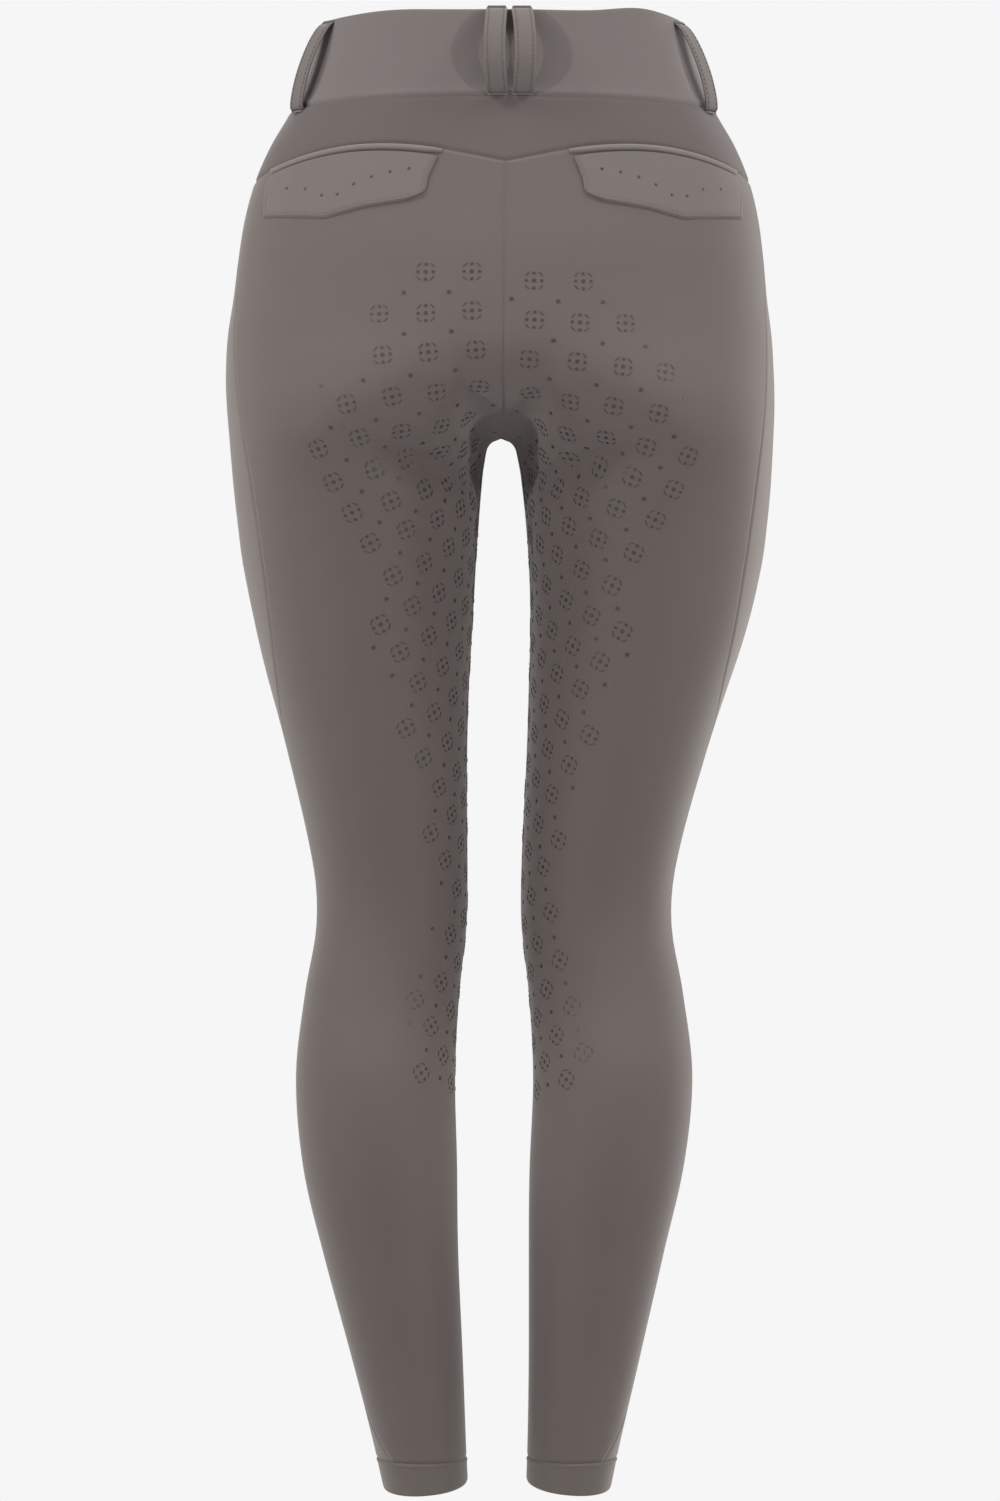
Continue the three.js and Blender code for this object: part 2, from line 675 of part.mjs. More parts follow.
// Welt and flap of each back pocket lie on the seat panel, just under the yoke
const flapGrid = backGrid.slice(0, FLAP_ROWS);
const weltOutline = [];
const flapOutline = FLAP_LOWER_EDGE.map((p) => ({ ...p }));
for (let i = 0; i <= OUTLINE_STEPS; i += 1) {
  const x = THREE.MathUtils.lerp(WELT_OUTER_X, WELT_INNER_X, i / OUTLINE_STEPS);
  weltOutline.push({ x, z: yokeEdge(x) - SEAM_GAP });
}
for (let i = OUTLINE_STEPS; i >= 0; i -= 1) {
  const x = THREE.MathUtils.lerp(WELT_OUTER_X, WELT_LOWER_INNER_X, i / OUTLINE_STEPS);
  weltOutline.push({ x, z: yokeEdge(x) - WELT_HEIGHT });
}
for (let i = 1; i < OUTLINE_STEPS; i += 1) {
  const x = THREE.MathUtils.lerp(WELT_OUTER_X, FLAP_TOP_INNER_X, i / OUTLINE_STEPS);
  flapOutline.push({ x, z: yokeEdge(x) - WELT_HEIGHT - SEAM_GAP });
}
const weltSheet = shell(wall(flapGrid, LAYER_GAP, LAYER_GAP + WELT_THICKNESS));
const flapSheet = shell(wall(flapGrid, LAYER_GAP, LAYER_GAP + FLAP_THICKNESS));
const welt = cutBehind(weltSheet, weltOutline);
const flap = cutBehind(flapSheet, flapOutline);
for (const { name, side } of sides) {
  addPiece(`welt_${name}`, placed(welt, side), cloth.trim);
  addPiece(`flap_${name}`, placed(flap, side), cloth.trim);
}

// Belt loop over the waistband at a place in plan. It runs from rise above the band's top edge to
// its lower edge, bows out by bow, lies shift to one side and leans spread farther in the middle
function beltLoop(place, { rise, bow, shift = 0, spread = 0 }) {
  const top = place(0);
  const outwardLevel = top.normal.clone().setZ(0).normalize();
  const acrossLoop = new THREE.Vector3(-outwardLevel.y, outwardLevel.x, 0);
  const outer = [];
  const inner = [];
  for (let i = 0; i <= LOOP_STEPS; i += 1) {
    const t = i / LOOP_STEPS;
    const z = THREE.MathUtils.lerp(rise, -WAISTBAND_HEIGHT, t);
    const base = place(Math.min(z, 0)).point.clone().setZ(z);
    const curve = THREE.MathUtils.clamp((t - LOOP_FLAT) / (1 - 2 * LOOP_FLAT), 0, 1);
    const stand = LAYER_GAP + bow * Math.pow(Math.sin(Math.PI * curve), LOOP_FULLNESS);
    const middle = shift + spread * Math.sin(Math.PI * t);
    const edge = (offset, half) => base.clone()
      .addScaledVector(outwardLevel, offset)
      .addScaledVector(acrossLoop, middle + half * LOOP_WIDTH / 2);
    outer.push([edge(stand + LOOP_THICKNESS, -1), edge(stand + LOOP_THICKNESS, 1)]);
    inner.push([edge(stand, -1), edge(stand, 1)]);
  }
  return shell({ outer, inner });
}

const backPlace = (z) => {
  const start = new THREE.Vector3(0, 0, z);
  const point = new THREE.Vector3(0, exitDistance(start, new THREE.Vector3(0, 1, 0), REACH), z);
  return { point, normal: new THREE.Vector3(0, 1, 0) };
};
const sidePlace = (z) => {
  const start = new THREE.Vector3(0, SIDE_LOOP_Y, z);
  const reach = exitDistance(start, new THREE.Vector3(1, 0, 0), REACH);
  const point = new THREE.Vector3(reach, SIDE_LOOP_Y, z);
  return { point, normal: outward(point) };
};
const frontPlace = (z) => frontPoint(FRONT_LOOP_X, z);
const backShift = (LOOP_WIDTH + BACK_LOOP_GAP) / 2;
for (const { name, side } of sides) {
  const backLoop = beltLoop(backPlace, {
    rise: LOOP_RISE,
    bow: BACK_LOOP_BOW,
    shift: -(BACK_LOOP_OFFSET + side * backShift),
    spread: -side * BACK_LOOP_SPREAD,
  });
  const sideLoop = beltLoop(sidePlace, { rise: SIDE_LOOP_RISE, bow: SIDE_LOOP_BOW });
  const frontLoop = beltLoop(frontPlace, { rise: LOOP_RISE, bow: FRONT_LOOP_BOW });
  addPiece(`loop_back_${name}`, placed(backLoop, 1), cloth.trim);
  addPiece(`loop_side_${name}`, placed(sideLoop, side), cloth.trim);
  addPiece(`loop_front_${name}`, placed(frontLoop, side), cloth.trim);
}

// Hem band round each ankle, from the leg's last row down to its slanted edge
const lastBack = rowPoints(1, LAST_ROW);
const lastFront = rowPoints(-1, LAST_ROW);
const ankle = [...lastBack, ...lastFront.slice(1, COLUMNS).reverse()];
const hemLevels = 2;
const hemGrid = [];
for (let level = 0; level <= hemLevels; level += 1) {
  const points = ankle.map((p) => {
    const foot = hemEdge(p.x, p.y);
    const z = THREE.MathUtils.lerp(HEM_SEAM_Z - HALF_GAP, foot, level / hemLevels);
    const q = new THREE.Vector3(p.x, p.y, z);
    return ontoCloth(q, true);
  });
  hemGrid.push({ row: level, points, normals: points.map((p) => outward(p)) });
}
const hemBand = shell(wall(hemGrid, -CLOTH, 0), true);
for (const { name, side } of sides) addPiece(`hem_${name}`, placed(hemBand, side), cloth.hem);

// Closed zip behind the centre front edges
const zipGrid = [];
for (let i = 0; i <= ZIP_ROWS; i += 1) {
  const z = THREE.MathUtils.lerp(ZIP_TOP_Z, ZIP_BOTTOM_Z, i / ZIP_ROWS);
  const across = [-1, 0, 1].map((share) => frontPoint(share * ZIP_HALF_WIDTH, z));
  zipGrid.push({ row: i, points: across.map((a) => a.point), normals: across.map((a) => a.normal) });
}
const zipOuter = -(CLOTH + LAYER_GAP);
const zipTape = shell(wall(zipGrid, zipOuter - ZIP_THICKNESS, zipOuter));
addPiece('zip_tape', placed(zipTape, 1), cloth.trim);

// Button on the overlapped ends of the waistband
const buttonProfile = BUTTON_PROFILE.map(({ out, up }) =>
  new THREE.Vector2(BUTTON_RADIUS * out, BUTTON_THICKNESS * up));
const button = new THREE.LatheGeometry(buttonProfile, BUTTON_SIDES);
button.deleteAttribute('normal');
button.deleteAttribute('uv');
const buttonSeat = frontPoint(0, BUTTON_Z);
const turn = new THREE.Quaternion().setFromUnitVectors(new THREE.Vector3(0, 1, 0), buttonSeat.normal);
const buttonBody = BufferGeometryUtils.mergeVertices(button);
buttonBody.applyQuaternion(turn);
const buttonBase = buttonSeat.point.clone().addScaledVector(buttonSeat.normal, LAYER_GAP);
buttonBody.translate(buttonBase.x, buttonBase.y, buttonBase.z);
addPiece('waistband_button', placed(buttonBody, 1), cloth.button);

export default group;
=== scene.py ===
import math
import bpy
import numpy as np
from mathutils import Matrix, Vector


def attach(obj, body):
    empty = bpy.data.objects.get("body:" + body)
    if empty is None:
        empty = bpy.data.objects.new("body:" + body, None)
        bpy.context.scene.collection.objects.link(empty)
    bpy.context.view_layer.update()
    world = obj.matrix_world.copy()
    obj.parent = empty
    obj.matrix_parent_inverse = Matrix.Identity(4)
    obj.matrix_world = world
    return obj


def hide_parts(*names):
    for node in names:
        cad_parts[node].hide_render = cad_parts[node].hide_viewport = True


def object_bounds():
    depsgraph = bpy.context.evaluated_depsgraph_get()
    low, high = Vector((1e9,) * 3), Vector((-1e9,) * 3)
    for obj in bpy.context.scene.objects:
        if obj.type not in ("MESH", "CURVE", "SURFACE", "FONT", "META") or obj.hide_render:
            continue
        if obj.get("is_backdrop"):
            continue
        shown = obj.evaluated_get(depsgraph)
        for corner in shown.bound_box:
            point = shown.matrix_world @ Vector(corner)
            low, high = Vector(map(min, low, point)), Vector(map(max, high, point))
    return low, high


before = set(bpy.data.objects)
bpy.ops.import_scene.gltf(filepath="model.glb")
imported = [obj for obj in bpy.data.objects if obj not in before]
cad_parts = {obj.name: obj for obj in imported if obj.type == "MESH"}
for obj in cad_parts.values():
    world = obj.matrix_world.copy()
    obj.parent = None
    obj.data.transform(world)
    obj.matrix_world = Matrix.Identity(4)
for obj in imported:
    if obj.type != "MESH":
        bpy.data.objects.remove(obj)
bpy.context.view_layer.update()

# The wearer faces -Y, so the seat is on the +Y side and the wearer's left leg is at +X.
# Lengths in the sections below are millimetres until a mesh is made.

# Camera: level with the middle of the garment, 3.5 m behind it and a touch to the wearer's left.
# Its places are in metres.
camera_data = bpy.data.cameras.new("camera")
camera_data.sensor_fit = "VERTICAL"
camera_data.sensor_height = 36.0
camera_data.sensor_width = 36.0
camera_data.lens = 125.5
camera_data.clip_start = 0.1
camera_data.clip_end = 40
camera = bpy.data.objects.new("camera", camera_data)
bpy.context.collection.objects.link(camera)
AIM = Vector((0, 0, -0.483))
camera.location = (0.0672, 3.4994, -0.483)
camera.rotation_mode = "QUATERNION"
camera.rotation_quaternion = (AIM - Vector(camera.location)).to_track_quat("-Z", "Y")
bpy.context.scene.camera = camera

# Seat panels: full-seat back panels of stretch knit, from under the yoke to the ankle, joined at
# the centre back seam and the crotch. Each is one piece of cloth, 1.5 mm thick, and its edges
# are turned in at the seams, so a seam shows as a fine groove.

# Half of the body from the waist down: the outer side, the inner side and the back and front of
# one lobe. Down to the seat a lobe is the whole torso, then it is one leg.
SECTIONS = np.array([
    # z, outer, inner, back, front
    (0, 123.2, -123.2, 92, -92),
    (-30, 131.5, -131.5, 96, -95),
    (-57, 142, -142, 100, -98),
    (-80, 155, -155, 106, -101),
    (-103, 164.6, -164.6, 112.5, -103.5),
    (-128, 171, -171, 120, -105.5),
    (-155, 174.8, -174.8, 128, -107),
    (-182, 177.5, -175, 133.5, -106.5),
    (-209, 181, -149, 137, -105.5),
    (-235, 182.2, -82, 138, -103),
    (-255, 182, -28, 136, -100),
    (-276, 180.8, 5.5, 130.5, -98),
    (-290, 180, 10.9, 124.5, -96.7),
    (-309, 178.8, 13.5, 116, -96),
    (-330, 176.8, 15.6, 109, -96),
    (-360, 173, 17.8, 101.5, -95.5),
    (-410, 161.8, 19.6, 92, -92),
    (-480, 141.2, 20, 77.5, -84),
    (-560, 121.5, 18.1, 60.5, -76),
    (-600, 119.1, 18.4, 54.5, -74),
    (-645, 126.5, 23.2, 56.5, -64),
    (-700, 132.3, 26, 68, -56),
    (-760, 127, 24.2, 66.3, -50.3),
    (-820, 113.3, 23.5, 54.5, -46.2),
    (-885, 97.3, 22.1, 42, -43),
    (-945, 82.9, 20.6, 34, -44),
    (-975, 76.5, 19.5, 31, -46),
])
# The side seam, by its distance back from the middle of the side
SIDE_SEAM = np.array([
    # z, y
    (0, 0), (-100, -4), (-150, 14), (-185, 38), (-219, 54), (-270, 73), (-324, 68), (-381, 58),
    (-437, 38), (-480, 8), (-520, -8), (-700, 4), (-880, -10), (-915, -5), (-930, 8), (-946, 19),
    (-960, 26), (-975, 29),
])
# The waist hangs a little to the wearer's right, the knees and calves to the left
SWAY = np.array([
    # z, x
    (0, -1.8), (-70, -2), (-150, -0.6), (-220, 0.5), (-276, -0.6), (-330, -1.5), (-390, -1.2),
    (-450, 1), (-560, 3.5), (-700, 4), (-800, 4.6), (-900, 2.6), (-975, 1.8),
])
# Soft hollows of the cloth: under each buttock, behind the knee and between the thighs
HOLLOWS = [
    # x, z, half width, half height, tilt in degrees, depth
    (52, -297, 37, 11.5, 12, 13),
    (18, -272, 10, 34, -14, 6),
    (78, -590, 26, 52, 8, 1.6),
    (50, -655, 14, 40, -6, 1.0),
    (104, -628, 12, 46, 6, 0.8),
    (66, -900, 20, 34, 0, 0.6),
]
HOLLOW_FROM_Y, HOLLOW_FULL_Y = -10, 25
# Thickness of the cloth, the air between layers, and half the slit between two sewn pieces
CLOTH, LAYER_GAP, HALF_GAP = 1.5, 0.3, 0.008
# How square a section is, and the round where the two legs run together
FULLNESS = 2.1
BRIDGE, BRIDGE_TOP_Z, BRIDGE_FULL_Z = 22, -195, -250
# Farther out than the cloth lies from any place inside it
REACH = 260
# Heights of the seams, and the yoke's lower edge from its V to its crest and on to the side
BAND_HEIGHT = 57
CROTCH_Z, SEAT_TURN_Z = -276, -215
HEM_SEAM_Z = -956
YOKE_V_Z, YOKE_SIDE_Z = -101, -104
YOKE_JOIN = (41, -92.4)
YOKE_CREST = (88, -87.8)
YOKE_SIDE_X = 164
# Rows of the panels count down from the yoke: the first few follow its edge, and those of the
# leg lie farther apart toward the ankle
YOKE_ROWS, BAND_ROWS, CROTCH_ROW, LAST_ROW = 3, 3, 12, 34
SHAPED_ROWS, SIDE_Z_AT_CROTCH_ROW, INSEAM_SPREAD = 4, -330, 1.45
# Where the rows near the crotch slide up or down as well as out, and their longest slide
CROTCH_HALF_WIDTH, CROTCH_HALF_HEIGHT, LONGEST_SLIDE = 80, 70, 6


def lerp(a, b, t):
    """a where t is 0, b where t is 1, in a straight line between."""
    return a + (b - a) * t


def smooth(x, low, high):
    """0 below low, 1 above high, 3t^2 - 2t^3 between."""
    t = np.clip((x - low) / (high - low), 0, 1)
    return t * t * (3 - 2 * t)


def through(table, z, column):
    """Smooth curve through a table's rows: the cubic whose slope at a row is its neighbours'."""
    z = np.asarray(z, float)
    zs, vs = table[:, 0], table[:, column]
    a = np.clip(np.searchsorted(-zs, -z, side="right") - 1, 0, len(zs) - 2)
    b, before, after = a + 1, np.maximum(a - 1, 0), np.minimum(a + 2, len(zs) - 1)
    span = zs[b] - zs[a]
    t = np.clip((z - zs[a]) / span, 0, 1)
    leave = (vs[b] - vs[before]) / (zs[b] - zs[before]) * span
    arrive = (vs[after] - vs[a]) / (zs[after] - zs[a]) * span
    t2, t3 = t * t, t * t * t
    rise = 3 * t2 - 2 * t3
    return (1 - rise) * vs[a] + (t3 - 2 * t2 + t) * leave + rise * vs[b] + (t3 - t2) * arrive


def section(z):
    """Centre x, centre y and the half sizes across and deep of one lobe at height z."""
    outer = through(SECTIONS, z, 1)
    inner = np.maximum(through(SECTIONS, z, 2), -outer)
    back, front = through(SECTIONS, z, 3), through(SECTIONS, z, 4)
    return (outer + inner) / 2, (back + front) / 2, (outer - inner) / 2, (back - front) / 2


def outside(x, y, z):
    """How far a point is outside the garment: |x/a|^n + |y/b|^n of the nearer lobe, and where
    the lobes meet, a round of width k takes off (k - |difference|)^2 / 4k."""
    cx, cy, rx, ry = section(z)
    deep = np.abs((y - cy) / ry) ** FULLNESS
    left = rx * ((np.abs((x - cx) / rx) ** FULLNESS + deep) ** (1 / FULLNESS) - 1)
    right = rx * ((np.abs((-x - cx) / rx) ** FULLNESS + deep) ** (1 / FULLNESS) - 1)
    k = np.maximum(BRIDGE * smooth(-z, -BRIDGE_TOP_Z, -BRIDGE_FULL_Z), 1e-6)
    meet = np.maximum(k - np.abs(left - right), 0) / k
    return np.minimum(left, right) - meet * meet * k / 4


def slope(p, step=0.2):
    """How fast outside() grows along x, y and z, from points a step to either side."""
    x, y, z = p[..., 0], p[..., 1], p[..., 2]
    g = np.stack([
        outside(x + step, y, z) - outside(x - step, y, z),
        outside(x, y + step, z) - outside(x, y - step, z),
        outside(x, y, z + step) - outside(x, y, z - step),
    ], -1)
    return g / (2 * step)


def unit(v):
    """v at length 1."""
    return v / np.maximum(np.linalg.norm(v, axis=-1, keepdims=True), 1e-9)


def exit_distance(start, direction, reach=REACH):
    """Distance along a ray at which it leaves the garment, by halving the reach 40 times."""
    low = np.zeros(start.shape[:-1])
    high = low + reach
    for _ in range(40):
        middle = (low + high) / 2
        p = start + direction * middle[..., None]
        inside = outside(p[..., 0], p[..., 1], p[..., 2]) < 0
        low, high = np.where(inside, middle, low), np.where(inside, high, middle)
    return (low + high) / 2


def xyz(x, y, z):
    """Points from three numbers or arrays."""
    return np.stack(np.broadcast_arrays(x, y, z), -1).astype(float)


def ring_point(angle, z):
    """Point of a lobe's section at height z, at an angle round it from its outer side."""
    cx, cy, rx, ry = section(z)
    c, d = np.cos(angle), np.sin(angle)
    scale = (np.abs(c) ** FULLNESS + np.abs(d) ** FULLNESS) ** (-1 / FULLNESS)
    return xyz(cx + rx * c * scale, cy + ry * d * scale, z)


def yoke_edge(x):
    """Lower edge of the yoke: straight up from the V to the flap, then an arch over it."""
    d = np.abs(x)
    shallow = lerp(YOKE_V_Z, YOKE_JOIN[1], d / YOKE_JOIN[0])
    rise = (YOKE_CREST[0] - d) / (YOKE_CREST[0] - YOKE_JOIN[0])
    fall = (d - YOKE_CREST[0]) / (YOKE_SIDE_X - YOKE_CREST[0])
    arch = np.where(d < YOKE_CREST[0], lerp(YOKE_CREST[1], YOKE_JOIN[1], rise ** 2),
                    lerp(YOKE_CREST[1], YOKE_SIDE_Z, fall ** 2))
    return np.where(d < YOKE_JOIN[0], shallow, arch)


def side_seam(z):
    """Point of the side seam at height z, straight out from its y."""
    start = xyz(section(z)[0], through(SIDE_SEAM, z, 1), z)
    start[..., 0] += exit_distance(start, np.array([1.0, 0, 0]))
    return start


def centre_seam(face, start_z, levels=15, turns=24):
    """The seam in the middle plane: level rays down to the seat, then rays that turn under."""
    middle = section(CROTCH_Z)[1]
    level = lerp(start_z, SEAT_TURN_Z, np.linspace(0, 1, levels))
    start = xyz(0, middle, np.concatenate([level, np.full(turns, float(SEAT_TURN_Z))]))
    turned = np.concatenate([np.zeros(levels), np.linspace(0, 1, turns + 1)[1:] * math.pi / 2])
    direction = xyz(0, face * np.cos(turned), -np.sin(turned))
    return start + direction * exit_distance(start, direction)[:, None]


def lengths_of(line):
    """Distance along a line of points from its first point."""
    return np.concatenate([[0], np.cumsum(np.linalg.norm(np.diff(line, axis=0), axis=1))])


def along_line(points, share):
    """Points at shares of the way along a line of points, by its length."""
    lengths = lengths_of(points)
    at = np.asarray(share, float) * lengths[-1]
    return np.stack([np.interp(at, lengths, points[:, k]) for k in range(points.shape[1])], -1)


def row_side_z(row):
    """Height of a row at the side seam. Rows -6 to -3 are the waistband's, -3 to 0 the yoke's."""
    band = -BAND_HEIGHT * (row + YOKE_ROWS + BAND_ROWS) / BAND_ROWS
    yoke = lerp(YOKE_SIDE_Z, -BAND_HEIGHT, -row / YOKE_ROWS)
    seat = lerp(YOKE_SIDE_Z, SIDE_Z_AT_CROTCH_ROW, row / CROTCH_ROW)
    leg = lerp(SIDE_Z_AT_CROTCH_ROW, HEM_SEAM_Z, (row - CROTCH_ROW) / (LAST_ROW - CROTCH_ROW))
    return np.where(row <= -YOKE_ROWS, band,
                    np.where(row <= 0, yoke, np.where(row <= CROTCH_ROW, seat, leg)))


def row_inner(face, row):
    """Inner end of each row: on the centre seam above the crotch, on the inseam below it."""
    line = centre_seam(face, YOKE_V_Z if face > 0 else -BAND_HEIGHT)
    crotch = centre_seam(1, YOKE_V_Z)[-1]
    first = 0 if face > 0 else -YOKE_ROWS
    ends = along_line(line, np.clip((row - first) / (CROTCH_ROW - first), 0, 1))
    t = np.clip((row - CROTCH_ROW) / (LAST_ROW - CROTCH_ROW), 0, 1)
    z = lerp(crotch[2], HEM_SEAM_Z, t ** INSEAM_SPREAD)
    cx, cy, _, _ = section(z)
    start = xyz(cx, cy, z)
    inseam = start.copy()
    inseam[:, 0] -= exit_distance(start, np.array([-1.0, 0, 0]), cx)
    level = np.where(row > -YOKE_ROWS, lerp(YOKE_V_Z, -BAND_HEIGHT, -row / YOKE_ROWS),
                     row_side_z(row))
    start = xyz(0, 0, level)
    straight = np.array([0.0, face, 0])
    top = start + exit_distance(start, straight)[:, None] * straight
    upper = np.where((row >= first)[:, None], ends, top)
    return np.where((row > CROTCH_ROW)[:, None], inseam, upper)


def lobe_angle(p, face):
    """Angle round the lobe, 0 at the outer side and a quarter turn at the back or front."""
    cx, cy, rx, ry = section(p[..., 2])
    angle = np.arctan2(face * (p[..., 1] - cy) / ry, (p[..., 0] - cx) / rx)
    return np.where(angle < -math.pi / 2, angle + 2 * math.pi, angle)


def row_points(face, row, u):
    """Grid of points on the cloth. Along a row the angle round the lobe and the level go evenly
    from the inner end to the side seam, and each point then slides onto the cloth."""
    inner, outer = row_inner(face, row), side_seam(row_side_z(row))
    from_angle = np.where(row > CROTCH_ROW, math.pi, lobe_angle(inner, face))
    angle = lerp(from_angle[:, None], lobe_angle(outer, face)[:, None], u)
    level = lerp(inner[:, None, 2], outer[:, None, 2], u)
    if face < 0:
        share = np.zeros_like(row)
    else:
        share = np.where(row <= 0, 1 + row / YOKE_ROWS, 1 - row / SHAPED_ROWS).clip(0, 1)
    c, d = np.cos(angle), np.sin(angle)
    scale = (np.abs(c) ** FULLNESS + np.abs(d) ** FULLNESS) ** (-1 / FULLNESS)
    z = level.copy()
    for _ in range(4):
        cx, cy, rx, ry = section(z)
        x, y = cx + rx * c * scale, cy + face * ry * d * scale
        z = level + share[:, None] * (yoke_edge(x) - lerp(YOKE_V_Z, YOKE_SIDE_Z, u))
    p = xyz(x, y, z)
    hold = ((row <= 0) | (row >= LAST_ROW))[:, None]
    for _ in range(8):
        g = slope(p)
        near_x = np.clip(1 - np.abs(p[..., 0]) / CROTCH_HALF_WIDTH, 0, 1)
        near_z = np.clip(1 - np.abs(p[..., 2] - CROTCH_Z) / CROTCH_HALF_HEIGHT, 0, 1)
        tilt = np.where(hold, 0, near_x * near_z)
        steep = g[..., 0] ** 2 + g[..., 1] ** 2 + tilt * g[..., 2] ** 2
        slide = outside(p[..., 0], p[..., 1], p[..., 2]) / steep
        move = np.clip(slide, -LONGEST_SLIDE, LONGEST_SLIDE)
        p = p - move[..., None] * g * xyz(1, 1, tilt)
    p[:, 0], p[:, -1] = inner, outer
    return p


def hollow(p):
    """How deep the cloth dips at a point: bell curves round each hollow's tilted long axis."""
    x, z = np.abs(p[..., 0]), p[..., 2]
    behind = smooth(p[..., 1] - section(z)[1], HOLLOW_FROM_Y, HOLLOW_FULL_Y)
    depth = np.zeros(x.shape)
    for at_x, at_z, wide, high, tilt, deep in HOLLOWS:
        c, s = math.cos(math.radians(tilt)), math.sin(math.radians(tilt))
        across, up = (x - at_x) * c + (z - at_z) * s, (z - at_z) * c - (x - at_x) * s
        depth += deep * np.exp(-(across / wide) ** 2 - (up / high) ** 2)
    return depth * behind


def onto(p, lift, passes=3):
    """Points pushed along the cloth's slope onto it, then lifted off it by lift."""
    for _ in range(passes):
        g = slope(p)
        value = outside(p[..., 0], p[..., 1], p[..., 2])
        p = p - (value / np.maximum((g ** 2).sum(-1), 1e-6))[..., None] * g
    n = unit(slope(p))
    return p + n * (lift - hollow(p))[..., None], n


def arcs(p, axis):
    """Distance along the grid's lines from their first point."""
    step = np.linalg.norm(np.diff(p, axis=axis), axis=-1)
    start = np.zeros_like(np.take(step, [0], axis=axis))
    return np.concatenate([start, np.cumsum(step, axis=axis)], axis=axis)


def crowded(count, pull=0.9):
    """Numbers from 0 to 1, closer together at both ends: t - pull sin(2 pi t) / 2 pi."""
    t = np.linspace(0, 1, count)
    return t - pull * np.sin(2 * math.pi * t) / (2 * math.pi)


def mesh_object(name, points, faces, material, uv=None, side=1, flat=False):
    """Mesh from points in millimetres and arrays of faces. A right-hand piece is the mirror
    image, and every piece follows the sway. Faces are turned so that the volume is positive."""
    p = np.array(points, float)
    p[:, 0] = side * p[:, 0] + through(SWAY, p[:, 2], 1)
    p *= 0.001
    groups = faces if isinstance(faces, list) else [faces]
    volume = 0.0
    for f in groups:
        for k in range(1, f.shape[1] - 1):
            a, b, c = p[f[:, 0]], p[f[:, k]], p[f[:, k + 1]]
            volume += np.einsum("ij,ij->i", a, np.cross(b, c)).sum()
    if volume < 0:
        groups = [f[:, ::-1] for f in groups]
    loops = np.concatenate([f.ravel() for f in groups]).astype(np.int32)
    sizes = np.concatenate([np.full(len(f), f.shape[1]) for f in groups])
    starts = np.concatenate([[0], np.cumsum(sizes)[:-1]]).astype(np.int32)
    mesh = bpy.data.meshes.new(name)
    mesh.vertices.add(len(p))
    mesh.vertices.foreach_set("co", p.astype(np.float32).ravel())
    mesh.loops.add(len(loops))
    mesh.loops.foreach_set("vertex_index", loops)
    mesh.polygons.add(len(sizes))
    mesh.polygons.foreach_set("loop_start", starts)
    if uv is not None:
        layer = mesh.uv_layers.new(name="cloth")
        chart = np.asarray(uv, float)[loops] * 0.001
        layer.data.foreach_set("uv", chart.astype(np.float32).ravel())
    mesh.update(calc_edges=True)
    mesh.validate()
    mesh.polygons.foreach_set("use_smooth", np.full(len(mesh.polygons), not flat))
    if not flat:
        mesh.set_sharp_from_angle(angle=math.radians(50))
    mesh.materials.append(material)
    made = bpy.data.objects.new(name, mesh)
    bpy.context.collection.objects.link(made)
    return made


def grid_faces(rows, columns, ring=False, first=0):
    """Four-cornered faces between the points of a grid, and round its end where it is a ring."""
    i, j = np.meshgrid(np.arange(rows - 1), np.arange(columns - (not ring)), indexing="ij")
    k = (j + 1) % columns
    return first + np.stack([i * columns + j, i * columns + k, (i + 1) * columns + k,
                             (i + 1) * columns + j], -1).reshape(-1, 4)


def shell_faces(rows, columns, ring=False):
    """Faces of a closed shell: outer grid, inner grid turned over, and the rim between them."""
    n = rows * columns
    outer, inner = grid_faces(rows, columns, ring), grid_faces(rows, columns, ring, n)[:, ::-1]
    rims = []
    j = np.arange(columns if ring else columns - 1)
    k = (j + 1) % columns
    rims.append(np.stack([j, j + n, k + n, k], -1))
    low = (rows - 1) * columns
    rims.append(np.stack([low + j, low + k, low + k + n, low + j + n], -1))
    if not ring:
        a = np.arange(rows - 1) * columns
        b = a + columns
        rims.append(np.stack([a, b, b + n, a + n], -1))
        e = columns - 1
        rims.append(np.stack([a + e, a + e + n, b + e + n, b + e], -1))
    return np.concatenate([outer, inner] + rims)


def shell_object(name, outer, inner, material, uv, side=1, ring=False):
    """Closed shell between two grids of points, with the chart uv on both."""
    points = np.concatenate([outer.reshape(-1, 3), inner.reshape(-1, 3)])
    chart = np.concatenate([uv.reshape(-1, 2)] * 2)
    faces = shell_faces(outer.shape[0], outer.shape[1], ring)
    return mesh_object(name, points, faces, material, chart, side)


def full_turn(count):
    """Angles in radians of count even steps round."""
    return np.arange(count) * 2 * math.pi / count


def repeated(faces, points, count):
    """The faces of one solid of so many points, again for count solids one after another."""
    step = (np.arange(count) * points)[:, None, None]
    return (faces[None] + step).reshape(-1, faces.shape[1])


def new_finish(name):
    """A new material with its nodes, links, shader and the coordinates that patterns read."""
    material = bpy.data.materials.new(name)
    material.use_nodes = True
    nodes, links = material.node_tree.nodes, material.node_tree.links
    return material, nodes, links, nodes["Principled BSDF"], nodes.new("ShaderNodeTexCoord")


